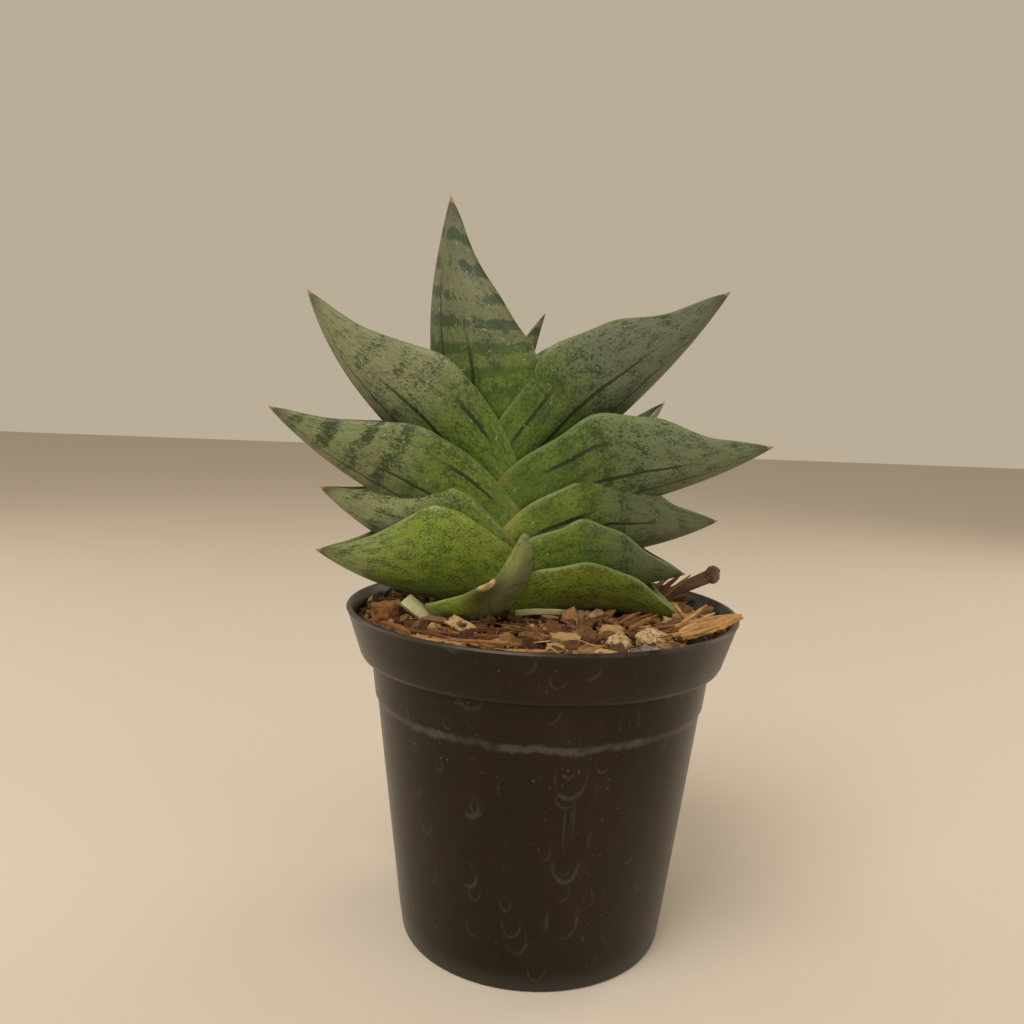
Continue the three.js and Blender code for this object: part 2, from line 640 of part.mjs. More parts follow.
// Cut-off base of an old leaf, a short curved plate that lies on the mix, and a dried sheath strip
const STUB = {
  length: 11, radius: 7, thickness: 1, sweep: 75, x: -33, y: -10.5, drop: 2.95, tilt: 35, spin: 78,
};
const STRIP = { length: 14, width: 1.6, thickness: 0.8, x: -0.5, y: -16.5, rise: 3.4, bow: 0.8 };

function stubGeometry(grow) {
  const half = radians(STUB.sweep / 2);
  const outer = STUB.radius + grow;
  const innerRadius = STUB.radius - STUB.thickness - grow;
  const section = new THREE.Shape();
  section.absarc(0, 0, outer, Math.PI / 2 - half, Math.PI / 2 + half);
  section.absarc(0, 0, innerRadius, Math.PI / 2 + half, Math.PI / 2 - half, true);
  section.closePath();
  const length = STUB.length + 2 * grow;
  const stub = new THREE.ExtrudeGeometry(section, { depth: length, curveSegments: 6, bevelEnabled: false });
  stub.translate(0, 0, -length / 2);
  stub.rotateX(Math.PI / 2);
  stub.rotateX(radians(STUB.tilt));
  stub.rotateZ(radians(STUB.spin));
  const { x, y } = spread(STUB);
  stub.translate(x, y, mixSurface(x, y) - STUB.drop);
  return stub;
}

function stripGeometry(grow) {
  const section = new THREE.Shape();
  const [w, t] = [STRIP.width / 2 + grow, STRIP.thickness / 2 + grow];
  section.moveTo(-w, -t);
  section.lineTo(w, -t);
  section.lineTo(w, t);
  section.lineTo(-w, t);
  section.closePath();
  const z = mixSurface(STRIP.x, STRIP.y) + STRIP.rise;
  const half = STRIP.length / 2 + grow;
  const path = new THREE.QuadraticBezierCurve3(
    new THREE.Vector3(STRIP.x - half, STRIP.y - STRIP.bow, z),
    new THREE.Vector3(STRIP.x, STRIP.y, z + STRIP.bow),
    new THREE.Vector3(STRIP.x + half, STRIP.y + STRIP.bow, z),
  );
  return new THREE.ExtrudeGeometry(section, { steps: 6, bevelEnabled: false, extrudePath: path });
}

// ---------------------------------------------------------------- assembly

// Pieces settle one after another. Each keeps its shape where it is free, and where an earlier piece is
// in its way it is trimmed to leave the clearance.
const group = new THREE.Group();
const settled = [];

function boundsTouch(a, b) {
  return [0, 1, 2].every((k) => a.min[k] <= b.max[k] && b.min[k] <= a.max[k]);
}

/** Adds a piece: its own solid, and the grown solid that later pieces are trimmed by. */
function settle({ name, solid, grown, color, roughness, at, parent = group }) {
  let body = solid;
  for (const earlier of settled) {
    if (boundsTouch(body.boundingBox(), earlier.boundingBox())) body = body.subtract(earlier);
  }
  const kept = largestBody(body);
  parent.add(piece(name, geometryOf(kept), color, roughness, at));
  if (grown) settled.push(grown);
}

const potMesh = potGeometry();
group.add(piece("pot", potMesh, 0x1d1a17, 0.45));

settle({
  name: "rootstock",
  solid: rootstockSolid(0),
  grown: rootstockSolid(CLEARANCE),
  color: 0xb9a878,
  roughness: 0.8,
  at: stemAxis(0),
});

for (const leaf of LEAVES) {
  settle({
    name: leaf.name,
    solid: solidOf(leafGeometry(leaf)),
    grown: solidOf(leafGeometry(leaf, CLEARANCE)),
    color: leaf.color,
    roughness: 0.5,
    at: stemAxis(leaf.height),
  });
}

settle({
  name: "leaf_stub",
  solid: solidOf(stubGeometry(0)),
  grown: solidOf(stubGeometry(CLEARANCE)),
  color: 0xa9ad84,
  roughness: 0.7,
});
settle({
  name: "dry_sheath",
  solid: solidOf(stripGeometry(0)),
  grown: solidOf(stripGeometry(CLEARANCE)),
  color: 0xb9a860,
  roughness: 0.75,
});
settle({ name: "twig", solid: twigSolid(0), grown: twigSolid(CLEARANCE), color: 0x7c5b44, roughness: 0.85 });
settle({
  name: FLAKE.name,
  solid: solidOf(flakeGeometry(0)),
  grown: solidOf(flakeGeometry(CLEARANCE)),
  color: FLAKE.color,
  roughness: 0.9,
});
settle({
  name: CHUNK.name,
  solid: solidOf(chunkGeometry(0)),
  grown: solidOf(chunkGeometry(CLEARANCE)),
  color: CHUNK.color,
  roughness: 0.95,
});

const looseChips = [...FEATURED.map(spread), ...ringChips()].map((chip, i) => ({ ...chip, seed: i + 1 }));
const loosePebbles = PEBBLES.map((pebble, i) => ({ ...spread(pebble), seed: i + 1 }));
const loose = [
  ...loosePebbles.map((item) => ({ item, build: pebbleGeometry })),
  ...looseChips.map((item) => ({ item, build: chipGeometry })),
];
for (const { item, build } of loose) {
  settle({
    name: item.name,
    solid: solidOf(bedded(item, build, 0)),
    grown: solidOf(bedded(item, build, CLEARANCE)),
    color: item.color,
    roughness: 0.9,
    at: new THREE.Vector3(item.x, item.y, mixSurface(item.x, item.y)),
  });
}

settle({ name: "potting_mix", solid: solidOf(mixGeometry()), color: 0x5b3a22, roughness: 0.95 });

export default group;
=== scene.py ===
"""Potted dwarf snake plant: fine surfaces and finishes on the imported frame, in metres, +Z up."""

import logging
import math
import random
from contextlib import contextmanager
from dataclasses import dataclass, field
from enum import Enum
from typing import Iterator, Sequence, Union

import bpy
import numpy as np
from mathutils import Euler, Matrix, Vector


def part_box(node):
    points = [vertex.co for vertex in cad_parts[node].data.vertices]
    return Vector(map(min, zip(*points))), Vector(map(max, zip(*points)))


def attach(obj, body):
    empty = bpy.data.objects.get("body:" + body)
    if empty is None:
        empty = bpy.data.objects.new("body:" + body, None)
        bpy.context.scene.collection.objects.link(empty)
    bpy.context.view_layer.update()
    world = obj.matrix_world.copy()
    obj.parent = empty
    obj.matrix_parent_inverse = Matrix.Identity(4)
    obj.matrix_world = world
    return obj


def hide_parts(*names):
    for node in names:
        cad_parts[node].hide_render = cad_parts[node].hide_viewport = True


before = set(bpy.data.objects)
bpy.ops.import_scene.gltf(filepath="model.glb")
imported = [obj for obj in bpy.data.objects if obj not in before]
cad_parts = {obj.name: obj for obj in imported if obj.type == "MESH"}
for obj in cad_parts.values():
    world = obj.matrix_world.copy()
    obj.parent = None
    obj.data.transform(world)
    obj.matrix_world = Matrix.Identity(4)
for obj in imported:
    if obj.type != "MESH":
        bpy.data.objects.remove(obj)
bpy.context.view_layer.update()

MM = 0.001
GRAIN_PER_MM = 0.05
BODY = "root"
LOG = logging.getLogger("snake_plant")

Colour = tuple[float, float, float]
Number = Union[float, "Socket"]


# ---------------------------------------------------------------- shader expressions


class Socket:
    """An output socket that takes part in Python arithmetic by adding Math nodes."""

    def __init__(self, graph: "Graph", output: bpy.types.NodeSocket) -> None:
        """Wraps a socket.

        Args:
            graph: The graph that owns the socket's node.
            output: The socket itself.
        """
        self.graph = graph
        self.output = output

    def _math(self, operation: str, *values: Number) -> "Socket":
        """Adds a Math node on the given values.

        Args:
            operation: The Math node's operation.
            values: The node's inputs, in order.

        Returns:
            The node's result.
        """
        return self.graph.node("ShaderNodeMath", {"operation": operation}, dict(enumerate(values)))

    def __add__(self, other: Number) -> "Socket":
        """Sum."""
        return self._math("ADD", self, other)

    __radd__ = __add__

    def __sub__(self, other: Number) -> "Socket":
        """Difference."""
        return self._math("SUBTRACT", self, other)

    def __rsub__(self, other: Number) -> "Socket":
        """Reflected difference."""
        return self._math("SUBTRACT", other, self)

    def __mul__(self, other: Number) -> "Socket":
        """Product."""
        return self._math("MULTIPLY", self, other)

    __rmul__ = __mul__

    def __truediv__(self, other: Number) -> "Socket":
        """Quotient."""
        return self._math("DIVIDE", self, other)

    def absolute(self) -> "Socket":
        """Absolute value."""
        return self._math("ABSOLUTE", self)

    def at_least(self, other: Number) -> "Socket":
        """The larger of the two values."""
        return self._math("MAXIMUM", self, other)

    def step(self, low: float, high: float) -> "Socket":
        """Smooth step from 0 at low to 1 at high; it falls where high is the smaller."""
        if low > high:
            return 1 - self.step(high, low)
        settings = {"interpolation_type": "SMOOTHSTEP", "clamp": True}
        values = {"Value": self, "From Min": low, "From Max": high}
        return self.graph.node("ShaderNodeMapRange", settings, values)


class Graph:
    """A material's node tree and the few ways that this scene adds nodes to it."""

    def __init__(self, name: str) -> None:
        """Starts a material with an empty node tree.

        Args:
            name: The material's name.
        """
        self.material = bpy.data.materials.new(name)
        self.material.use_nodes = True
        self.tree = self.material.node_tree
        self.tree.nodes.clear()

    def node(self, kind: str, settings: dict | None = None, values: dict | None = None,
             out: str | int = 0) -> Socket:
        """Adds one node.

        Args:
            kind: The node's type name.
            settings: Node properties; "stops" sets a colour ramp's stops.
            values: Input sockets by name or index, each a number, a sequence or a Socket.
            out: Name or index of the output to return.

        Returns:
            The chosen output.
        """
        made = self.tree.nodes.new(kind)
        for key, setting in (settings or {}).items():
            if key == "stops":
                self._stops(made.color_ramp, setting)
            else:
                setattr(made, key, setting)
        for key, value in (values or {}).items():
            if isinstance(value, Socket):
                self.tree.links.new(value.output, made.inputs[key])
            else:
                made.inputs[key].default_value = value
        return Socket(self, made.outputs[out] if made.outputs else made.inputs[0])

    @staticmethod
    def _stops(ramp: bpy.types.ColorRamp, stops: Sequence[tuple[float, Colour]]) -> None:
        """Sets a ramp's stops from (place, colour) pairs."""
        while len(ramp.elements) < len(stops):
            ramp.elements.new(1.0)
        for element, (place, colour) in zip(ramp.elements, stops):
            element.position = place
            element.color = (*colour, 1.0)

    def ramp(self, place: Socket, stops: Sequence[tuple[float, Colour]]) -> Socket:
        """A colour ramp."""
        return self.node("ShaderNodeValToRGB", {"stops": stops}, {"Fac": place}, "Color")

    def mix(self, factor: Number, low: Union[Colour, Socket], high: Union[Colour, Socket]) -> Socket:
        """Mixes two colours.

        Args:
            factor: Share of the second colour.
            low: First colour.
            high: Second colour.

        Returns:
            The mixed colour.
        """
        low = low if isinstance(low, Socket) else (*low, 1.0)
        high = high if isinstance(high, Socket) else (*high, 1.0)
        settings = {"data_type": "RGBA", "clamp_factor": True}
        return self.node("ShaderNodeMix", settings, {0: factor, 6: low, 7: high}, 2)

    def place(self, coordinate: str = "Object") -> Socket:
        """Texture coordinates of the piece itself."""
        return self.node("ShaderNodeTexCoord", out=coordinate)

    def scaled(self, vector: Socket, scale: Sequence[float], shift: Sequence[float] = (0, 0, 0)) -> Socket:
        """A vector moved by shift after it is scaled along each axis."""
        return self.node("ShaderNodeMapping", {}, {"Vector": vector, "Scale": scale, "Location": shift})

    def parts(self, vector: Socket) -> tuple[Socket, Socket, Socket]:
        """A vector's three components."""
        first = self.node("ShaderNodeSeparateXYZ", {}, {"Vector": vector})
        outputs = first.output.node.outputs
        return first, Socket(self, outputs[1]), Socket(self, outputs[2])

    def vector(self, x: Number, y: Number, z: Number = 0.0) -> Socket:
        """A vector of three components."""
        return self.node("ShaderNodeCombineXYZ", {}, {0: x, 1: y, 2: z})

    def noise(self, vector: Socket, scale: float, detail: float = 3.0, roughness: float = 0.55,
              distortion: float = 0.0) -> Socket:
        """Noise from 0 to 1."""
        values = {"Vector": vector, "Scale": scale, "Detail": detail, "Roughness": roughness}
        return self.node("ShaderNodeTexNoise", {}, {**values, "Distortion": distortion})

    def attribute(self, name: str) -> Socket:
        """A number that the piece carries at each point."""
        return self.node("ShaderNodeAttribute", {"attribute_name": name}, {}, "Fac")

    def bump(self, height: Socket, distance: float, strength: float = 1.0) -> Socket:
        """A bumped normal from a height.

        Args:
            height: Height, from 0 to 1.
            distance: Height of 1, in metres.
            strength: Share of the effect.

        Returns:
            The normal.
        """
        values = {"Height": height, "Distance": distance, "Strength": strength}
        return self.node("ShaderNodeBump", {}, values)

    def finish(self, values: dict) -> bpy.types.Material:
        """Adds the shader and the output.

        Args:
            values: The Principled shader's inputs.

        Returns:
            The material.
        """
        shader = self.node("ShaderNodeBsdfPrincipled", {}, values)
        self.node("ShaderNodeOutputMaterial", {}, {"Surface": shader})
        return self.material


# ---------------------------------------------------------------- finishes


@dataclass(frozen=True)
class LeafFinish:
    """Succulent leaf skin: silver-green, broken dark cross bands, long dark lines, pale margin, painted shade
    along the keel.
    """

    name: str
    seed: float
    length: float
    girth: float
    silver: Colour = (0.162, 0.186, 0.080)
    green: Colour = (0.015, 0.034, 0.007)
    base: Colour = (0.098, 0.172, 0.012)
    sheath: Colour = (0.27, 0.21, 0.035)
    margin: Colour = (0.14, 0.175, 0.05)
    tip: Colour = (0.30, 0.19, 0.09)
    glowing: Colour = (0.24, 0.29, 0.025)
    banding: float = 0.85
    mottling: float = 0.75
    base_reach: float = 0.40
    band_gap: float = 0.0085
    tip_length: float = 0.018
    grooves: float = 0.85
    lit_flank: float = 0.0
    glow: float = 0.0

    def material(self) -> bpy.types.Material:
        """Builds the material.

        Returns:
            The leaf's material.
        """
        g = Graph(self.name)
        around, along, _ = g.parts(g.place("UV"))
        inner = around.step(0.499, 0.501)
        folded = (around - 0.5).absolute() * 2
        across = (folded - 0.5) * 2
        width = across * (self.girth / 2)
        reach = along * self.length
        seed = self.seed
        grid = g.vector(width, reach, inner * 3 + seed)

        streak = g.noise(g.scaled(grid, (1500, 260, 1)), 1.0, 3.0, 0.62)
        drift = g.noise(g.scaled(grid, (60, 45, 1)), 1.0, 3.0, 0.6)
        wander = g.noise(g.scaled(grid, (110, 60, 1), (3, 1, 5)), 1.0, 2.0, 0.5)
        stipple = g.noise(g.scaled(grid, (2300, 1250, 1), (1, 4, 2)), 1.0, 3.0, 0.75)
        blotch = g.noise(g.scaled(grid, (430, 240, 1), (6, 2, 4)), 1.0, 3.0, 0.62)
        phase = reach * (math.tau / self.band_gap) + (wander - 0.5) * 5.0 + across.absolute() * 1.1
        band = g.node("ShaderNodeMath", {"operation": "SINE"}, {0: phase}) * 0.5 + 0.5
        band = band.step(0.35, 0.95) * drift.step(0.26, 0.50) * along.step(1.0, 0.88)
        nearness = along.step(0.70, 0.05)
        crowd = band * (0.24 * self.banding) + nearness * (0.16 * self.mottling) + (blotch - 0.5) * 0.42
        crowd = crowd + (streak - 0.5) * 0.25 + (drift - 0.5) * 0.2 + (self.mottling - 0.75) * 0.1
        dark = (stipple + crowd).step(0.56, 0.70)
        fleck = g.noise(g.scaled(grid, (2300, 1350, 1), (5, 3, 7)), 1.0, 3.0, 0.72)
        pepper = (fleck + (blotch - 0.5) * 0.5 + nearness * 0.10).step(0.54, 0.62)
        silver = g.mix(wander.step(0.3, 0.75), self.silver, tuple(c * 1.25 for c in self.silver))
        silver = g.mix(stipple.step(0.42, 0.68) * 0.6, silver, tuple(c * 0.62 for c in self.silver))
        silver = g.mix(blotch.step(0.50, 0.64) * 0.35, silver, tuple(c * 0.66 for c in self.silver))
        skin = g.mix(pepper * 0.30, silver, self.green)
        skin = g.mix(dark * 0.90, skin, self.green)

        keel = across.absolute().step(0.50, 0.0) * (1 - inner)
        low = (along + (drift - 0.5) * 0.20 + (blotch - 0.5) * 0.22 + (streak - 0.5) * 0.12 - keel * 0.16)
        low = low.step(self.base_reach + 0.16, self.base_reach - 0.22)
        if self.lit_flank:
            low = low.at_least((across + (drift - 0.5) * 0.3).step(-0.12, 0.10) * self.lit_flank)
        glow = (drift * 0.5 + along.step(0.45, 0.0) * 0.8) * self.glow
        fresh = g.mix(glow, self.base, self.glowing)
        deep = (dark * 0.34).at_least((fleck + (blotch - 0.5) * 0.45).step(0.50, 0.58) * 0.74)
        skin = g.mix(low * 0.94, skin, g.mix(deep, fresh, self.green))
        ends = along.step(0.08, 0.16) * along.step(0.93, 0.84)
        lines = self._lines(across, along, wander, streak)
        skin = g.mix(lines * ends, skin, tuple(c * 0.42 for c in self.green))
        clasp = (along + (1 - across.absolute()) * 0.35).step(0.16, 0.03)
        skin = g.mix(clasp, skin, self.sheath)

        # Painted shade: the outer face is darkened to a dull olive-brown along the keel, the side that turns
        # away from the light.
        skin = g.mix(keel * 0.30, skin, (0.070, 0.060, 0.022))
        edge = across.absolute().step(0.978, 0.994)
        skin = g.mix(edge * 0.5, skin, self.margin)
        dry = (along + (streak - 0.5) * 0.012).step(1 - self.tip_length * 1.6, 1 - self.tip_length)
        brown = (along + (drift - 0.5) * 0.05).step(1 - self.tip_length * 6, 1 - self.tip_length)
        skin = g.mix(brown * 0.75, skin, (0.050, 0.040, 0.020))
        skin = g.mix(dry, skin, self.tip)
        specks = g.noise(g.scaled(grid, (1300, 1300, 1), (9, 9, 9)), 1.0, 0.0).step(0.815, 0.835)
        skin = g.mix(specks * 0.35, skin, (0.50, 0.50, 0.38))

        ribs = g.noise(g.scaled(grid, (1100, 60, 1), (2, 8, 3)), 1.0, 2.0, 0.5)
        pores = g.noise(g.scaled(grid, (4200, 2600, 1)), 1.0, 1.0)
        height = ribs * 0.6 + pores * 0.18 - lines * ends * 0.55 + specks * 0.4 + dry * streak
        rough = 0.47 + drift * 0.12 + dark * 0.05 - low * 0.1 - specks * 0.25 + dry * 0.25
        return g.finish({
            "Base Color": skin,
            "Roughness": rough,
            "Normal": g.bump(height, 0.00022, 0.55),
            "Specular IOR Level": 0.35,
            "Sheen Weight": 0.12,
            "Sheen Roughness": 0.5,
            "Sheen Tint": (0.85, 0.95, 0.85, 1.0),
        })

    def _lines(self, across: Socket, along: Socket, wander: Socket, streak: Socket) -> Socket:
        """Long dark grooves that follow the leaf.

        Args:
            across: -1 at one margin to 1 at the other.
            along: 0 at the stem to 1 at the tip.
            wander: Noise that bends the lines a little.
            streak: Noise that frays their edges.

        Returns:
            The mask of the lines.
        """
        rng = random.Random(int(self.seed * 100))
        total: Socket | None = None
        for side in (-1, 1):
            for place, stop in ((0.16, 0.92), (0.36, 0.84), (0.57, 0.66), (0.78, 0.40)):
                middle = side * (place + rng.uniform(-0.05, 0.05))
                start = rng.uniform(0.08, 0.24)
                stop += rng.uniform(-0.14, 0.04)
                away = (across + (wander - 0.5) * 0.06 - middle).absolute() + (streak - 0.5) * 0.012
                wide = 0.0105 + 0.010 * (1 - along)
                shape = (away / wide).step(1.0, 0.6) * along.step(start, start + 0.06)
                shape = shape * along.step(stop + 0.06, stop - 0.1)
                total = shape if total is None else total.at_least(shape)
        return total * self.grooves


@dataclass(frozen=True)
class PotFinish:
    """Satin black-brown moulded plastic with dried water rings, drips, specks and a dusty collar."""

    ledge: float
    collar: float
    rim: float
    plastic: Colour = (0.0070, 0.0044, 0.0028)
    worn: Colour = (0.030, 0.022, 0.017)
    chalk: Colour = (0.24, 0.235, 0.235)

    def material(self) -> bpy.types.Material:
        """Builds the material.

        Returns:
            The pot's material.
        """
        g = Graph("pot_plastic")
        spot = g.place()
        x, y, z = g.parts(spot)
        turn = g.node("ShaderNodeMath", {"operation": "ARCTAN2"}, {0: y, 1: x})
        wall = g.vector(turn * 0.042, z, 0.0)

        cloud = g.noise(g.scaled(spot, (35, 35, 22)), 1.0, 4.0, 0.6)
        grime = g.noise(g.scaled(spot, (160, 160, 90), (3, 1, 2)), 1.0, 4.0, 0.65)
        colour = g.mix(cloud.step(0.35, 0.75) * 0.7, self.plastic, (0.016, 0.0105, 0.007))

        rings = self._rings(g, wall, 74.0, 0.31, 1.0).at_least(self._rings(g, wall, 125.0, 0.30, 6.0) * 0.8)
        broken = grime.step(0.42, 0.6)
        drips = g.noise(g.scaled(wall, (620, 34, 1), (4, 2, 0)), 1.0, 2.0, 0.5).step(0.66, 0.72)
        drips = drips * g.noise(g.scaled(wall, (40, 70, 1), (1, 7, 0)), 1.0, 2.0).step(0.5, 0.66)
        specks = g.noise(g.scaled(spot, (900, 900, 900)), 1.0, 1.0).step(0.70, 0.76)
        specks = specks * g.noise(g.scaled(spot, (70, 70, 60), (6, 6, 2)), 1.0, 2.0).step(0.45, 0.62)
        rubbed = g.noise(g.scaled(wall, (75, 40, 1), (2, 9, 0)), 1.0, 3.0, 0.6).step(0.42, 0.60)
        wear = (z + (grime - 0.5) * 0.0045 - self.ledge + 0.0008).absolute().step(0.0015, 0.0003) * rubbed
        lip = (z - self.rim).step(-0.0012, -0.0003) * grime.step(0.3, 0.6)
        under = (z + (grime - 0.5) * 0.002).step(0.006, 0.001)
        dust = (z - self.collar).step(-0.001, 0.004) * (x + (cloud - 0.5) * 0.02).step(0.022, 0.046)
        dust = dust * grime.step(0.3, 0.62)
        haze = grime.step(0.5, 0.8) * cloud.step(0.42, 0.7)

        marks = (rings * broken * 0.11).at_least(drips * 0.09).at_least(specks * 0.24).at_least(wear * 0.22)
        marks = marks.at_least(lip * 0.10).at_least(under * 0.10)
        marks = marks.at_least(dust * 0.20).at_least(haze * 0.035)
        colour = g.mix(marks, colour, self.chalk)
        scuff = g.noise(g.scaled(wall, (240, 3000, 1), (8, 3, 0)), 1.0, 2.0).step(0.62, 0.8) * cloud
        colour = g.mix(scuff * 0.16, colour, self.worn)
        height = grime * 0.35 + marks * 0.4 + g.noise(g.scaled(spot, (2600, 2600, 2600)), 1.0, 2.0) * 0.3
        return g.finish({
            "Base Color": colour,
            "Roughness": 0.25 + marks * 0.6 + cloud * 0.10 + scuff * 0.1,
            "Normal": g.bump(height, 0.00006, 0.6),
            "Specular IOR Level": 0.26,
            "Specular Tint": (1.0, 0.84, 0.70, 1.0),
        })

    @staticmethod
    def _rings(g: Graph, wall: Socket, scale: float, radius: float, seed: float) -> Socket:
        """Dried drops: thin pale rings, strongest at their lower edge.

        Args:
            g: The graph.
            wall: Position on the wall, round and up, in metres.
            scale: Drops per metre.
            radius: Ring radius as a share of the cell.
            seed: Offset of the pattern.

        Returns:
            The mask of the rings.
        """
        cells = g.scaled(wall, (scale, scale * 0.72, scale), (seed, seed * 1.7, seed))
        warp = g.noise(cells, 2.2, 2.0, 0.5)
        settings = {"voronoi_dimensions": "2D", "feature": "F1"}
        values = {"Vector": cells, "Scale": 1.0, "Randomness": 0.9}
        distance = g.node("ShaderNodeTexVoronoi", settings, values, "Distance")
        centre = Socket(g, distance.output.node.outputs["Position"])
        tint = Socket(g, distance.output.node.outputs["Color"])
        pick, size, _ = g.parts(tint)
        middle = radius * (0.35 + size * 0.75)
        ring = (distance + (warp - 0.5) * 0.09 - middle).absolute().step(0.050, 0.012)
        _, up, _ = g.parts(cells)
        _, centre_up, _ = g.parts(centre)
        lower = (up - centre_up).step(0.16, -0.12)
        return ring * (0.15 + 0.85 * lower) * pick.step(0.38, 0.45)


@dataclass(frozen=True)
class GrainFinish:
    """Bark, husk, wood and dried leaf: fibres along the piece, and a tint that each piece carries."""

    name: str
    stops: tuple[tuple[float, Colour], ...]
    grain: tuple[float, float] = (9.0, 90.0)
    relief: float = 0.00045
    roughness: float = 0.82
    dirt: Colour = (0.035, 0.020, 0.012)
    dirt_share: float = 0.55

    def material(self) -> bpy.types.Material:
        """Builds the material.

        Returns:
            The grained material.
        """
        g = Graph(self.name)
        tint = g.attribute("tint")
        u, v, _ = g.parts(g.place("UV"))
        spot = g.place()
        along, across = self.grain
        fibre = g.noise(g.vector(u * along, v * across, tint * 37), 1.0, 4.0, 0.65, 0.4)
        clump = g.noise(g.scaled(spot, (420, 420, 420)), 1.0, 3.0, 0.6)
        crumb = g.noise(g.scaled(spot, (1900, 1900, 1900)), 1.0, 3.0, 0.7)
        colour = g.ramp(tint + (fibre - 0.5) * 0.42 + (clump - 0.5) * 0.22, self.stops)
        dirt = (clump * 0.6 + crumb * 0.4 + (fibre - 0.5) * 0.3).step(0.50, 0.36)
        colour = g.mix(dirt * self.dirt_share, colour, self.dirt)
        colour = g.mix(fibre.step(0.60, 0.80) * 0.28, colour, (0.62, 0.46, 0.26))
        height = fibre * 0.75 + crumb * 0.35
        return g.finish({
            "Base Color": colour,
            "Roughness": self.roughness + (crumb - 0.5) * 0.2,
            "Normal": g.bump(height, self.relief, 0.8),
            "Specular IOR Level": 0.25,
        })


@dataclass(frozen=True)
class StoneFinish:
    """Rough mineral surface with pits and darker grains."""

    name: str
    pale: Colour
    deep: Colour
    grain_size: float = 700.0

    def material(self) -> bpy.types.Material:
        """Builds the material.

        Returns:
            The stone material.
        """
        g = Graph(self.name)
        spot = g.place()
        blotch = g.noise(g.scaled(spot, (300, 300, 300)), 1.0, 3.0, 0.6)
        grain = g.noise(g.scaled(spot, (self.grain_size * 3,) * 3), 1.0, 4.0, 0.7)
        pits = g.noise(g.scaled(spot, (self.grain_size,) * 3), 1.0, 3.0, 0.6).step(0.50, 0.38)
        colour = g.mix((blotch * 0.6 + grain * 0.5).step(0.4, 0.68), self.deep, self.pale)
        colour = g.mix(pits * 0.7, colour, tuple(c * 0.35 for c in self.deep))
        return g.finish({
            "Base Color": colour,
            "Roughness": 0.72 + grain * 0.2,
            "Normal": g.bump(grain * 0.7 - pits * 0.8, 0.0004, 0.8),
            "Specular IOR Level": 0.3,
        })


@dataclass(frozen=True)
class SoilFinish:
    """Damp fine mix between the chips: dark crumbs with rusty husk dust."""

    name: str = "potting_mix"

    def material(self) -> bpy.types.Material:
        """Builds the material.

        Returns:
            The mix material.
        """
        g = Graph(self.name)
        spot = g.place()
        broad = g.noise(g.scaled(spot, (120, 120, 120)), 1.0, 3.0, 0.6)
        crumb = g.noise(g.scaled(spot, (900, 900, 900)), 1.0, 4.0, 0.7)
        stops = ((0.25, (0.012, 0.007, 0.004)), (0.5, (0.050, 0.026, 0.014)), (0.8, (0.17, 0.085, 0.035)))
        colour = g.ramp(crumb * 0.75 + broad * 0.3, stops)
        return g.finish({
            "Base Color": colour,
            "Roughness": 0.9 - broad * 0.15,
            "Normal": g.bump(crumb, 0.0012, 0.9),
            "Specular IOR Level": 0.2,
        })


# ---------------------------------------------------------------- modelling helpers


def deselect() -> None:
    """Leaves nothing selected."""
    bpy.ops.object.select_all(action="DESELECT")


def active(piece: bpy.types.Object) -> bpy.types.Object:
    """Selects one piece alone and makes it active."""
    deselect()
    piece.select_set(True)
    bpy.context.view_layer.objects.active = piece
    return piece


@contextmanager
def editing(piece: bpy.types.Object) -> Iterator[None]:
    """Opens a piece in edit mode with all of it selected.

    Args:
        piece: The piece.

    Yields:
        Nothing, while the piece is open.
    """
    active(piece)
    bpy.ops.object.mode_set(mode="EDIT")
    bpy.ops.mesh.select_all(action="SELECT")
    yield
    bpy.ops.object.mode_set(mode="OBJECT")


def modify(piece: bpy.types.Object, kind: str, **settings: object) -> None:
    """Adds one modifier and applies it.

    Args:
        piece: The piece.
        kind: The modifier's type.
        settings: The modifier's properties.
    """
    active(piece)
    modifier = piece.modifiers.new(kind.lower(), kind)
    for key, value in settings.items():
        setattr(modifier, key, value)
    bpy.ops.object.modifier_apply(modifier=modifier.name)


def in_place(piece: bpy.types.Object) -> bpy.types.Object:
    """Moves a piece's place, turn and size into its mesh."""
    active(piece)
    bpy.ops.object.transform_apply(location=True, rotation=True, scale=True)
    return piece


def number_on_points(piece: bpy.types.Object, name: str, value: Union[float, np.ndarray]) -> None:
    """Stores a number at each point of a piece.

    Args:
        piece: The piece.
        name: The attribute's name.
        value: One number, or one per point.
    """
    count = len(piece.data.vertices)
    store = piece.data.attributes.get(name) or piece.data.attributes.new(name, "FLOAT", "POINT")
    store.data.foreach_set("value", np.broadcast_to(np.asarray(value, np.float32), count).copy())


def points_of(piece: bpy.types.Object) -> np.ndarray:
    """The points of a piece as rows of x, y, z."""
    places = np.zeros(len(piece.data.vertices) * 3, np.float64)
    piece.data.vertices.foreach_get("co", places)
    return places.reshape(-1, 3)


def set_points(piece: bpy.types.Object, places: np.ndarray) -> None:
    """Moves a piece's points."""
    piece.data.vertices.foreach_set("co", np.asarray(places, np.float64).reshape(-1))
    piece.data.update()


def lay_uv(piece: bpy.types.Object, flat: np.ndarray) -> None:
    """Gives every corner the u, v of its point.

    Args:
        piece: The piece.
        flat: A row of u, v for each point.
    """
    mesh = piece.data
    layer = mesh.uv_layers.active or mesh.uv_layers.new(name="UVMap")
    corners = np.zeros(len(mesh.loops), np.int32)
    mesh.loops.foreach_get("vertex_index", corners)
    layer.data.foreach_set("uv", flat[corners].astype(np.float32).reshape(-1))


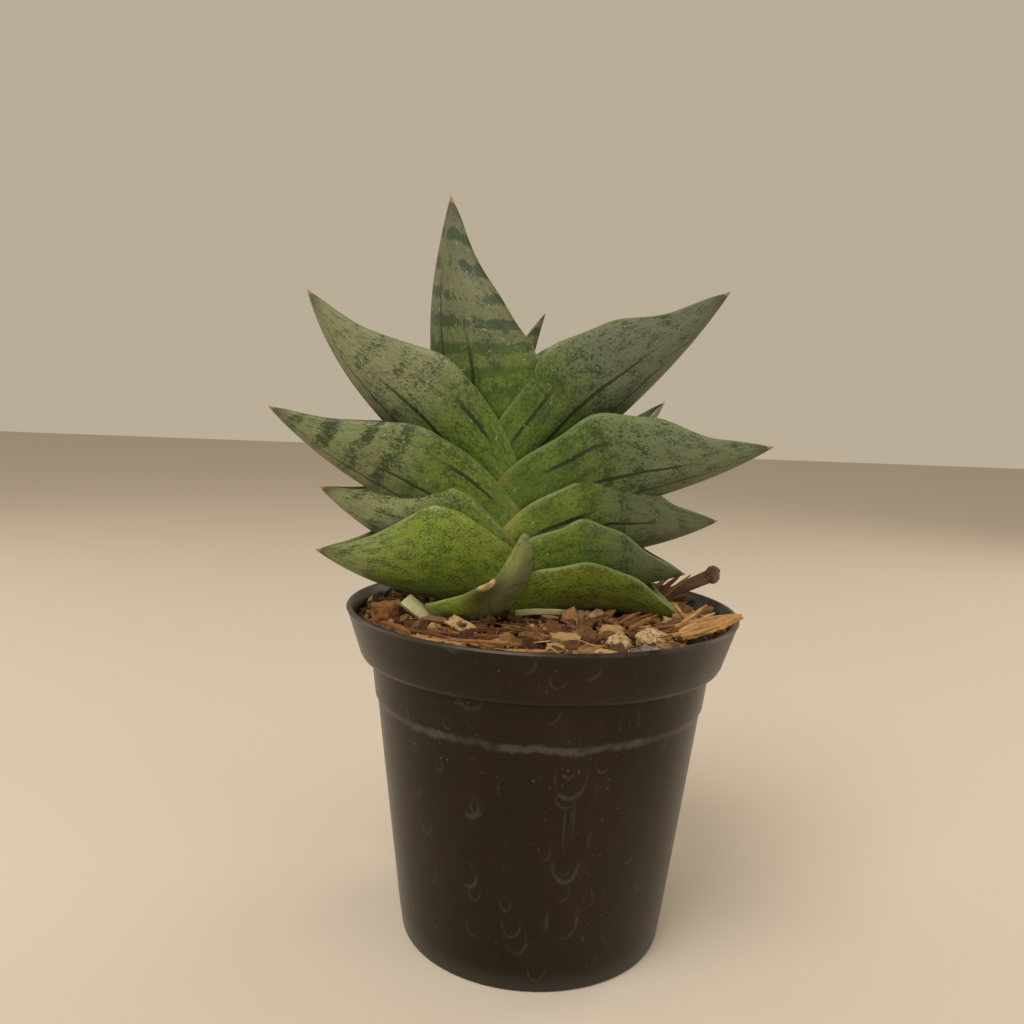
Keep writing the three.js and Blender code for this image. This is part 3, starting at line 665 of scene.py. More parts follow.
def solid_copy(node: str, name: str) -> bpy.types.Object:
    """A copy of a CAD solid to work on.

    Args:
        node: The CAD node.
        name: The copy's name.

    Returns:
        The copy, in the CAD solid's place.
    """
    piece = bpy.data.objects.new(name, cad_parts[node].data.copy())
    bpy.context.scene.collection.objects.link(piece)
    return piece


def made_once(finish: Union[GrainFinish, StoneFinish], materials: dict) -> bpy.types.Material:
    """A finish's material, made the first time that it is asked for.

    Args:
        finish: The finish.
        materials: Materials made so far, by finish name.

    Returns:
        The material.
    """
    if finish.name not in materials:
        materials[finish.name] = finish.material()
    return materials[finish.name]


def seat(piece: bpy.types.Object, slot: str, material: bpy.types.Material, *nodes: str) -> bpy.types.Object:
    """Dresses a finished piece and ties it to the frame.

    Args:
        piece: The piece.
        slot: The record's material slot; not used.
        material: Its material.
        nodes: The CAD nodes it stands for.

    Returns:
        The piece.
    """
    piece.data.materials.clear()
    piece.data.materials.append(material)
    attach(piece, BODY)
    if nodes:
        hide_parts(*nodes)
    LOG.info("%s: %d faces", piece.name, len(piece.data.polygons))
    return piece


def lathe(name: str, profile: Sequence[tuple[float, float]], segments: int) -> bpy.types.Object:
    """Turns a profile by extruding a circle ring by ring.

    Args:
        name: The piece's name.
        profile: (radius, height) pairs in metres, none on the axis.
        segments: Segments round the piece.

    Returns:
        The open turned surface.
    """
    deselect()
    radius, height = profile[0]
    bpy.ops.mesh.primitive_circle_add(vertices=segments, radius=radius, location=(0, 0, height))
    piece = bpy.context.object
    piece.name = name
    with editing(in_place(piece)):
        for (r0, z0), (r1, z1) in zip(profile, profile[1:]):
            bpy.ops.mesh.extrude_region_move(TRANSFORM_OT_translate={"value": (0, 0, z1 - z0)})
            bpy.ops.transform.resize(value=(r1 / r0, r1 / r0, 1), center_override=(0, 0, z1))
    return piece


# ---------------------------------------------------------------- smooth curves


def curve_through(keys: Sequence[tuple[float, float]], place: np.ndarray) -> np.ndarray:
    """Smooth curve through keys, with slopes taken from each key's neighbours.

    Args:
        keys: (place, value) pairs in rising order.
        place: Where to read the curve.

    Returns:
        The curve's values.
    """
    knots = np.array(keys, float)
    x, y = knots[:, 0], knots[:, 1]
    slope = np.gradient(y)
    slope[1:-1] = (y[2:] - y[:-2]) / (x[2:] - x[:-2])
    slope[0] = (y[1] - y[0]) / (x[1] - x[0])
    slope[-1] = (y[-1] - y[-2]) / (x[-1] - x[-2])
    place = np.asarray(place, float)
    i = np.clip(np.searchsorted(x, place, side="right") - 1, 0, len(x) - 2)
    span = x[i + 1] - x[i]
    u = (place - x[i]) / span
    start = y[i] * (1 + 2 * u) * (1 - u) ** 2 + slope[i] * span * u * (1 - u) ** 2
    return start + y[i + 1] * u * u * (3 - 2 * u) + slope[i + 1] * span * u * u * (u - 1)


def smooth_step(low: float, high: float, place: np.ndarray) -> np.ndarray:
    """Smooth step from 0 at low to 1 at high."""
    u = np.clip((place - low) / (high - low), 0, 1)
    return u * u * (3 - 2 * u)


# ---------------------------------------------------------------- the plant


@dataclass
class MixSurface:
    """The top of the potting mix: a low mound with shallow ripples. Sizes are in millimetres."""

    below_rim: float = 3.6
    mound: float = 1.8
    ripple: float = 0.5
    radius: float = 47.16
    level: float = field(init=False)

    def __post_init__(self) -> None:
        """Reads the height of the mix at the wall from the pot's rim."""
        self.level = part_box("pot")[1].z / MM - self.below_rim

    def height(self, x: float, y: float) -> float:
        """Height of the mix at a point.

        Args:
            x: Place along X.
            y: Place along Y.

        Returns:
            The height.
        """
        share = min(math.hypot(x, y) / self.radius, 1.0)
        ripple = math.sin(x * 0.31 + 1.3) * math.cos(y * 0.27 + 0.4) * self.ripple * (1 - share**4)
        return self.level + self.mound * (1 - share**2) + ripple


@dataclass
class Stem:
    """The stem's axis, above the mix. Sizes are in millimetres."""

    x: float = -7.5
    lean: float = 0.12
    foot: float = field(init=False)

    def __post_init__(self) -> None:
        """Stands the stem on the mix."""
        self.foot = MixSurface().height(self.x, 0.0)

    def axis(self, height: float) -> np.ndarray:
        """A point on the axis, in millimetres.

        Args:
            height: Height above the mix.

        Returns:
            The point.
        """
        return np.array([self.x - self.lean * height, 0.0, self.foot + height])


@dataclass
class Leaf:
    """One boat-shaped leaf. Angles are in degrees and sizes in millimetres."""

    node: str
    azimuth: float
    height: float
    reach: float
    length: float
    depth: float
    breadth: float
    base_depth: float
    base_breadth: float
    pitch: tuple[float, float, float]
    sheath_rise: float = 35.0
    roll: float = 0.0
    look: dict = field(default_factory=dict)
    thickness: float = 2.2
    rows: int = 96
    columns: int = 36
    belly: float = 0.4
    neck: float = 0.42

    def _taper(self, base: float, full: float, place: np.ndarray) -> np.ndarray:
        """Depth or breadth along the leaf from its values at the base and the belly."""
        rest = 1 - self.belly
        keys = (
            (0, base),
            (self.belly * 0.5, base * 0.38 + full * 0.62),
            (self.belly, full),
            (self.belly + rest * 0.35, full * 0.8),
            (self.belly + rest * 0.65, full * self.neck),
            (self.belly + rest * 0.88, full * self.neck * 0.38),
            (1, 0),
        )
        return np.maximum(curve_through(keys, place), 0)

    def _pitch(self, place: np.ndarray) -> np.ndarray:
        """Pitch of the midrib along the leaf, in radians."""
        base, middle, tip = self.pitch
        arc = base * (1 - place) * (1 - 2 * place) + 4 * middle * place * (1 - place)
        sheath = self.sheath_rise * np.maximum(1 - place / 0.3, 0) ** 2
        return np.radians(arc + tip * place * (2 * place - 1) + sheath)

    def _frames(self, stem: Stem) -> tuple[np.ndarray, ...]:
        """Places along the leaf with the midrib point, the across and the inward directions."""
        place = np.linspace(0, 1, self.rows + 1)
        turn = math.radians(self.azimuth)
        out = np.array([math.cos(turn), math.sin(turn), 0.0])
        up = np.array([0.0, 0.0, 1.0])
        across = np.cross(up, out)
        pitch = self._pitch(place)[:, None]
        along = np.cos(pitch) * out + np.sin(pitch) * up
        into = np.cross(along, across)
        middle = self._pitch((place[1:] + place[:-1]) / 2)[:, None]
        steps = (np.cos(middle) * out + np.sin(middle) * up) * self.length / self.rows
        start = stem.axis(self.height) + out * self.reach
        points = np.vstack([start, start + np.cumsum(steps, axis=0)])
        roll = math.radians(self.roll)
        turned = math.cos(roll) * across + math.sin(roll) * into
        return place, points, turned, math.cos(roll) * into - math.sin(roll) * across

    def surface(self, stem: Stem) -> np.ndarray:
        """Points of the closed skin, row by row, in metres: the outer face, then the inner face back.

        Args:
            stem: The stem that the leaf clasps.

        Returns:
            An array of rows, places round the section, and x, y, z.
        """
        place, points, across, into = self._frames(stem)
        depth = self._taper(self.base_depth, self.depth, place)[:, None]
        breadth = self._taper(self.base_breadth, self.breadth, place)[:, None]
        sweep_keys = ((0, 115), (0.25, 96), (0.5, 90), (1, 90))
        sweep = np.radians(curve_through(sweep_keys, place))[:, None]
        side = np.linspace(-1, 1, self.columns + 1)[None, :]
        seed = hash_name(self.node)
        ridge = self._relief(place[:, None], side, seed)
        wave = 1 + 0.018 * np.sin(place * 23 + seed)[:, None] * smooth_step(0.3, 1.0, np.abs(side))
        angle = sweep * np.abs(side)
        rise = depth / (1 - np.cos(sweep))
        x = breadth * np.sin(angle) * np.sign(side)
        y = rise * (1 - np.cos(angle)) * wave
        tangent_x = breadth * np.cos(angle)
        tangent_y = rise * np.sin(angle)
        size = np.sqrt(tangent_x**2 + tangent_y**2) + 1e-9
        normal_x = -tangent_y / size * np.sign(side)
        normal_y = tangent_x / size
        thin = 1 - 0.65 * np.abs(side) ** 2.2
        young = (0.55 + 0.45 * smooth_step(0, 0.3, place))[:, None]
        limit = 0.5 * np.minimum(breadth, depth)
        thick = np.minimum(self.thickness * thin * young, limit)
        ridge = ridge * np.minimum(thick, 0.6)
        outer = (x + normal_x * ridge, y + normal_y * ridge)
        inner = (x + normal_x * thick, y + normal_y * thick)
        lip = (x + normal_x * thick * 0.5, y + normal_y * thick * 0.5)
        edge = 0.3 * thick
        faces = [
            np.stack([outer[0], outer[1]], -1),
            np.stack([lip[0], lip[1] + edge], -1)[:, -1:],
            np.stack([inner[0], inner[1]], -1)[:, ::-1],
            np.stack([lip[0], lip[1] + edge], -1)[:, :1],
            np.stack([outer[0], outer[1]], -1)[:, :1],
        ]
        section = np.concatenate(faces, axis=1)
        skin = points[:, None, :] + section[..., :1] * across[:, None, :]
        skin = skin + section[..., 1:] * into[:, None, :]
        return skin * MM

    def _relief(self, place: np.ndarray, side: np.ndarray, seed: float) -> np.ndarray:
        """Shallow long furrows on the outer face, as a share of the skin's depth."""
        furrow = np.zeros(np.broadcast(place, side).shape)
        for centre, stop in ((0.27, 0.75), (0.56, 0.68), (0.80, 0.4)):
            for hand in (-1, 1):
                away = side - hand * centre - 0.02 * np.sin(place * 9 + seed)
                fade = smooth_step(0.05, 0.2, place) * (1 - smooth_step(stop - 0.15, stop + 0.1, place))
                furrow = furrow + np.exp(-((away / 0.05) ** 2)) * fade
        dent = 0.25 * np.sin(place * 11 + side * 3 + seed) * np.sin(side * 5 - place * 7 + 2 * seed)
        return 0.22 * furrow + 0.16 * dent * smooth_step(0, 0.1, place) * (1 - smooth_step(0.85, 1, place))

    def girth(self) -> float:
        """Length round the outer face at the belly, in metres."""
        return math.pi * math.sqrt((self.breadth**2 + self.depth**2) / 2) * MM

    def build(self, stem: Stem) -> bpy.types.Object:
        """Makes the leaf.

        Args:
            stem: The stem that the leaf clasps.

        Returns:
            The finished piece.
        """
        skin = self.surface(stem)
        rows, around = skin.shape[:2]
        deselect()
        bpy.ops.mesh.primitive_grid_add(x_subdivisions=around - 1, y_subdivisions=rows - 1, size=2)
        piece = bpy.context.object
        piece.name = self.node + "_skin"
        set_points(piece, skin.reshape(-1, 3))
        self._unwrap(piece, rows, around)
        with editing(piece):
            bpy.ops.mesh.remove_doubles(threshold=2e-6)
            bpy.ops.mesh.select_all(action="DESELECT")
            bpy.ops.mesh.select_non_manifold(extend=False, use_boundary=True, use_wire=False,
                                             use_multi_face=False, use_non_contiguous=False, use_verts=False)
            bpy.ops.mesh.edge_face_add()
            bpy.ops.mesh.select_all(action="SELECT")
            bpy.ops.mesh.normals_make_consistent(inside=False)
        bpy.ops.object.shade_smooth()
        return piece

    def _unwrap(self, piece: bpy.types.Object, rows: int, around: int) -> None:
        """Lays the skin out flat: u runs round the section and v along the leaf."""
        count = self.columns + 1
        outer = np.linspace(0, 0.49, count)
        inner = np.linspace(0.51, 1.0, count)
        round_places = np.concatenate([outer, [0.5], inner, [1.0], [1.0]])
        point = np.arange(rows * around)
        lay_uv(piece, np.stack([round_places[point % around], point // around / (rows - 1)], -1))


def hash_name(name: str) -> float:
    """A small number from 0 to 10 that a name always gives."""
    return sum((i + 1) * ord(letter) for i, letter in enumerate(name)) % 997 / 99.7


class Rosette:
    """The stem and all the leaves."""

    def __init__(self) -> None:
        """Sets the stem and the list of leaves, oldest first.

        Each row gives the node, azimuth, height, reach, length, depth, breadth, base depth, base breadth,
        pitch at the base, middle and tip, rise of the sheath, roll and look.
        """
        self.stem = Stem()
        fresh = {"base_reach": 0.74, "mottling": 1.0, "grooves": 0.12, "banding": 0.35}
        self.leaves = [
            Leaf("leaf_front", -102, -1.5, 2.5, 33.5, 12, 15.5, 15.5, 14.5, (33, 18, 54), 0, 40,
                 {"silver": (0.180, 0.195, 0.055), "base": (0.225, 0.300, 0.016), "base_reach": 0.30,
                  "banding": 0.2, "mottling": 0.3, "grooves": 0.5, "lit_flank": 1.0, "glow": 0.7,
                  "tip": (0.55, 0.38, 0.2), "tip_length": 0.05}),
            Leaf("leaf_right_1", -8, -3, 4, 42, 14, 12, 12, 12.2, (10, 0, -18), 35, 0,
                 {**fresh, "silver": (0.085, 0.115, 0.028), "base": (0.125, 0.150, 0.010),
                  "base_reach": 0.95, "mottling": 0.5, "glow": 0.45}),
            Leaf("leaf_left_2", 184, -1, 4, 50, 25, 13, 16, 11.5, (0, 14, 36), 35, 0,
                 {**fresh, "silver": (0.180, 0.225, 0.070), "base": (0.185, 0.265, 0.026), "glow": 0.75,
                  "tip": (0.45, 0.16, 0.05)}),
            Leaf("leaf_right_2", -2, 1, 4, 42, 20, 12, 15, 10.9, (8, 10, 18), 35, 0,
                 {"silver": (0.095, 0.118, 0.045), "banding": 0.45, "base_reach": 0.55, "grooves": 0.4,
                  "glow": 0.3}),
            Leaf("leaf_left_3", 177, 3, 6, 53, 22, 13, 15, 10.3, (18, 26, 46), 35, 0,
                 {"silver": (0.215, 0.245, 0.110), "banding": 0.35, "tip": (0.42, 0.2, 0.09),
                  "grooves": 0.5, "glow": 0.3}),
            Leaf("leaf_right_3", 5, 7, 4, 54, 23, 13, 15, 9.6, (16, 13, 28), 35, 0,
                 {"silver": (0.112, 0.135, 0.066), "banding": 0.45, "base_reach": 0.45, "glow": 0.35,
                  "tip": (0.4, 0.2, 0.1)}),
            Leaf("leaf_left_4", 184, 11.5, 6.5, 68, 21, 13, 15, 8.8, (24, 30, 48), 35, 0,
                 {"banding": 0.7, "glow": 0.2, "base_reach": 0.44}),
            Leaf("leaf_right_4", -4, 16, 4, 69, 24, 13, 15, 8, (20, 19, 34), 35, 0,
                 {"silver": (0.132, 0.165, 0.082), "banding": 0.35, "tip": (0.35, 0.17, 0.08),
                  "mottling": 1.0}),
            Leaf("leaf_left_5", 176, 21, 7, 76, 24, 13, 15, 7.2, (36, 46, 74), 35, 0,
                 {"banding": 0.18, "silver": (0.170, 0.188, 0.092)}),
            Leaf("leaf_right_5", 4, 25, 5.5, 78, 25, 13, 15, 6.4, (38, 45, 58), 35, 0,
                 {"silver": (0.118, 0.134, 0.088), "banding": 0.22, "mottling": 1.05}),
            Leaf("leaf_crown", 178, 31, 7, 76, 26, 12, 13, 5.2, (50, 86, 103), 5, 0,
                 {"banding": 1.15, "mottling": 0.95, "band_gap": 0.0072, "silver": (0.102, 0.112, 0.050),
                  "base_reach": 0.46}),
            Leaf("leaf_spear", 0, 37, 3, 40, 8, 5, 7, 3.6, (82, 80, 75), 5, 0, {"base_reach": 0.3}),
            Leaf("leaf_back_right", 48, 6, 6, 82, 15, 9, 11, 7, (34, 34, 46), 20, 0,
                 {"silver": (0.12, 0.145, 0.08)}),
            Leaf("leaf_back_left", 136, 2, 6, 62, 14, 9, 11, 8, (14, 18, 34), 20, 0,
                 {"silver": (0.09, 0.16, 0.03), "banding": 0.4, "glow": 0.5}),
        ]

    def build(self) -> None:
        """Makes and dresses every leaf."""
        for leaf in self.leaves:
            piece = leaf.build(self.stem)
            finish = LeafFinish(leaf.node + "_skin", hash_name(leaf.node), leaf.length * MM, leaf.girth(),
                                **leaf.look)
            seat(piece, "leaf", finish.material(), leaf.node)


# ---------------------------------------------------------------- the pot


@dataclass
class Pot:
    """The nursery pot. Sizes are in millimetres."""

    height: float = 85
    rim: float = 50
    base: float = 34.5
    body_top: float = 43.5
    collar_foot: float = 46
    collar_height: float = 12.6
    ledge_drop: float = 10
    ledge_depth: float = 0.5
    ledge_slope: float = 0.8
    wall: float = 1.4
    floor: float = 1.8
    chamfer: float = 1.2
    drain: float = 3
    drain_circle: float = 22
    drain_margin: float = 6
    hub: float = 0.6
    wall_sway: float = 0.22
    drains: int = 6
    segments: int = 192

    def _body(self, z: float) -> float:
        """Radius of the body above the ledge."""
        share = z / (self.height - self.collar_height)
        return self.base + (self.body_top - self.base) * share

    def _collar(self, z: float) -> float:
        """Outer radius of the collar."""
        share = (z - self.height + self.collar_height) / self.collar_height
        return self.collar_foot + (self.rim - self.collar_foot) * share

    def build(self) -> bpy.types.Object:
        """Makes the pot.

        Returns:
            The finished piece.
        """
        foot = self.height - self.collar_height
        ledge = foot - self.ledge_drop
        low = ledge - self.ledge_slope
        inner_foot = foot + self.wall
        profile = [
            (self.hub, 0),
            (self.drain_circle - self.drain_margin, 0),
            (self.drain_circle + self.drain_margin, 0),
            (self.base - self.chamfer - 0.4, 0),
            (self.base - self.chamfer * 0.45 - 0.2, self.chamfer * 0.3),
            (self.base - self.ledge_depth, self.chamfer),
            *[(self._body(z) - self.ledge_depth, z) for z in np.linspace(8, low - 1, 7)],
            (self._body(low) - self.ledge_depth, low),
            (self._body(ledge), ledge),
            *[(self._body(z), z) for z in np.linspace(ledge + 1, foot - 0.8, 3)],
            (self.body_top - 0.05, foot - 0.3),
            (self.body_top + 0.35, foot),
            (self.collar_foot - self.wall * 0.45, foot),
            (self.collar_foot - 0.1, foot + self.wall * 0.3),
            (self._collar(foot + self.wall), foot + self.wall),
            (self._collar(foot + 6), foot + 6),
            (self._collar(self.height - 1.6), self.height - 1.6),
            (self.rim, self.height - 0.5),
            (self.rim - 0.35, self.height),
            (self.rim - self.wall + 0.35, self.height),
            (self._collar(self.height - 0.5) - self.wall, self.height - 0.5),
            (self._collar(foot + 7) - self.wall, foot + 7),
            (self._collar(inner_foot + 0.4) - self.wall, inner_foot + 0.4),
            (self.body_top - self.wall + 0.2, inner_foot),
            (self.body_top - self.wall, inner_foot - 0.5),
            (self._body(ledge) - self.wall, ledge),
            (self._body(low) - self.ledge_depth - self.wall, low),
            (self._body(self.floor) - self.ledge_depth - self.wall, self.floor),
            (self.drain_circle + self.drain_margin, self.floor),
            (self.drain_circle - self.drain_margin, self.floor),
            (self.hub, self.floor),
        ]
        piece = lathe("pot_shell", [(r * MM, z * MM) for r, z in profile], self.segments)
        with editing(piece):
            bpy.ops.mesh.select_all(action="DESELECT")
            bpy.ops.mesh.select_non_manifold(extend=False)
            bpy.ops.mesh.edge_face_add()
            bpy.ops.mesh.select_all(action="SELECT")
            bpy.ops.mesh.normals_make_consistent(inside=False)
        self._drain_holes(piece)
        self._settle_wall(piece)
        active(piece)
        bpy.ops.object.shade_smooth_by_angle(angle=math.radians(40))
        return piece

    def _drain_holes(self, piece: bpy.types.Object) -> None:
        """Cuts the ring of drain holes."""
        size = {"vertices": 32, "radius": self.drain * MM, "depth": 8 * MM}
        for i in range(self.drains):
            turn = i / self.drains * 2 * math.pi
            place = (self.drain_circle * MM * math.cos(turn), self.drain_circle * MM * math.sin(turn), 0)
            deselect()
            bpy.ops.mesh.primitive_cylinder_add(location=place, **size)
            cutter = in_place(bpy.context.object)
            modify(piece, "BOOLEAN", operation="DIFFERENCE", object=cutter, solver="EXACT")
            bpy.data.objects.remove(cutter)

    def _settle_wall(self, piece: bpy.types.Object) -> None:
        """Gives the thin wall the slight unevenness of moulded plastic, inward only."""
        places = points_of(piece)
        turn = np.arctan2(places[:, 1], places[:, 0])
        radius = np.hypot(places[:, 0], places[:, 1])
        height = places[:, 2] / (self.height * MM)
        sway = 0.5 - 0.3 * np.sin(2 * turn + 0.6) - 0.2 * np.sin(3 * turn + 2.1)
        shift = -self.wall_sway * MM * sway * smooth_step(0.3, 1.0, height)
        scale = (radius + shift) / np.maximum(radius, 1e-9)
        places[:, 0] *= scale
        places[:, 1] *= scale
        set_points(piece, places)

    def dress(self, piece: bpy.types.Object) -> None:
        """Gives the pot its finish."""
        foot = self.height - self.collar_height
        finish = PotFinish((foot - self.ledge_drop) * MM, foot * MM, self.height * MM)
        seat(piece, "pot_plastic", finish.material(), "pot")


# ---------------------------------------------------------------- loose pieces


BARK = GrainFinish("bark", (
    (0.05, (0.030, 0.014, 0.007)), (0.30, (0.105, 0.048, 0.020)), (0.52, (0.245, 0.130, 0.050)),
    (0.75, (0.420, 0.270, 0.115)), (0.95, (0.560, 0.430, 0.230)),
))
HUSK = GrainFinish("husk", (
    (0.05, (0.055, 0.020, 0.008)), (0.35, (0.205, 0.080, 0.026)), (0.60, (0.370, 0.185, 0.060)),
    (0.90, (0.560, 0.360, 0.150)),
), grain=(5.0, 70.0), relief=0.0006)
TWIG = GrainFinish("twig_wood", (
    (0.1, (0.060, 0.032, 0.020)), (0.5, (0.165, 0.092, 0.056)), (0.9, (0.330, 0.215, 0.140)),
), grain=(6.0, 60.0), relief=0.0004, dirt_share=0.35)
DRY = GrainFinish("dry_leaf", (
    (0.1, (0.17, 0.15, 0.05)), (0.5, (0.36, 0.37, 0.19)), (0.9, (0.62, 0.56, 0.34)),
), grain=(2.0, 60.0), relief=0.0003, dirt=(0.16, 0.12, 0.04), dirt_share=0.35)
ROOT = GrainFinish("root", (
    (0.1, (0.20, 0.13, 0.06)), (0.5, (0.42, 0.32, 0.18)), (0.9, (0.60, 0.50, 0.32)),
), grain=(3.0, 40.0))
CREAM = StoneFinish("cream_stone", (0.56, 0.44, 0.24), (0.30, 0.19, 0.08))
GREY = StoneFinish("grey_stone", (0.27, 0.23, 0.18), (0.09, 0.075, 0.06))


@dataclass
class Weathered:
    """A loose piece shaped from its CAD solid: cut finer, torn and roughened, in the same place."""

    node: str
    slot: str
    tint: float
    rough: float = 0.5
    cuts: int = 4
    stretch: float = 3.0
    arris: float = 0.35

    def build(self, finish: Union[GrainFinish, StoneFinish], materials: dict) -> bpy.types.Object:
        """Makes and dresses the piece.

        Args:
            finish: The finish.
            materials: Materials made so far, by finish name.

        Returns:
            The finished piece.
        """
        piece = solid_copy(self.node, self.node + "_piece")
        with editing(piece):
            bpy.ops.mesh.remove_doubles(threshold=1e-6)
            bpy.ops.mesh.dissolve_limited(angle_limit=math.radians(2))
            bpy.ops.mesh.bevel(offset=self.arris * MM, segments=2, affect="EDGES", clamp_overlap=True)
            bpy.ops.mesh.quads_convert_to_tris()
            bpy.ops.mesh.subdivide(number_cuts=self.cuts, smoothness=0.0)
        self._roughen(piece)
        self._lay_grain(piece)
        number_on_points(piece, "tint", self.tint)
        active(piece)
        bpy.ops.object.shade_smooth_by_angle(angle=math.radians(48))
        return seat(piece, self.slot, made_once(finish, materials), self.node)

    def _roughen(self, piece: bpy.types.Object) -> None:
        """Presses the surface inwards by layered waves that run along the grain."""
        places = points_of(piece)
        centre = places.mean(0)
        local = (places - centre) / MM
        _, _, axes = np.linalg.svd(local, full_matrices=False)
        seed = hash_name(self.node)
        along, across, through = (local @ axes[i] for i in range(3))
        wave = np.zeros(len(local))
        for k in range(1, 5):
            phase = seed * (k + 1.3)
            scale = 0.9 * 1.9**k
            bend = 1.7 * np.sin(across * scale * 0.6 + phase)
            ripple = np.sin(along * scale / self.stretch + phase + bend)
            ripple = ripple * np.sin(across * scale + phase * 2.1)
            wave += ripple * np.cos(through * scale * 0.8 + phase) / 1.5**k
        wave = (wave - wave.max()) / max(np.ptp(wave), 1e-9)
        size = np.linalg.norm(local, axis=1, keepdims=True)
        set_points(piece, places + local / np.maximum(size, 0.3) * (wave * self.rough)[:, None] * MM)

    def _lay_grain(self, piece: bpy.types.Object) -> None:
        """Maps the surface so that u runs along the piece's longest direction."""
        places = points_of(piece)
        local = (places - places.mean(0)) / MM
        _, _, axes = np.linalg.svd(local, full_matrices=False)
        u = local @ axes[0] * GRAIN_PER_MM
        v = (local @ axes[1] + local @ axes[2] * 0.9) * GRAIN_PER_MM
        lay_uv(piece, np.stack([u, v], -1))


class Scrap(Enum):
    """The shapes of the small loose scraps."""

    FLAKE = "flake"
    BLOCK = "block"
    FIBRE = "fibre"
    CRUMB = "crumb"


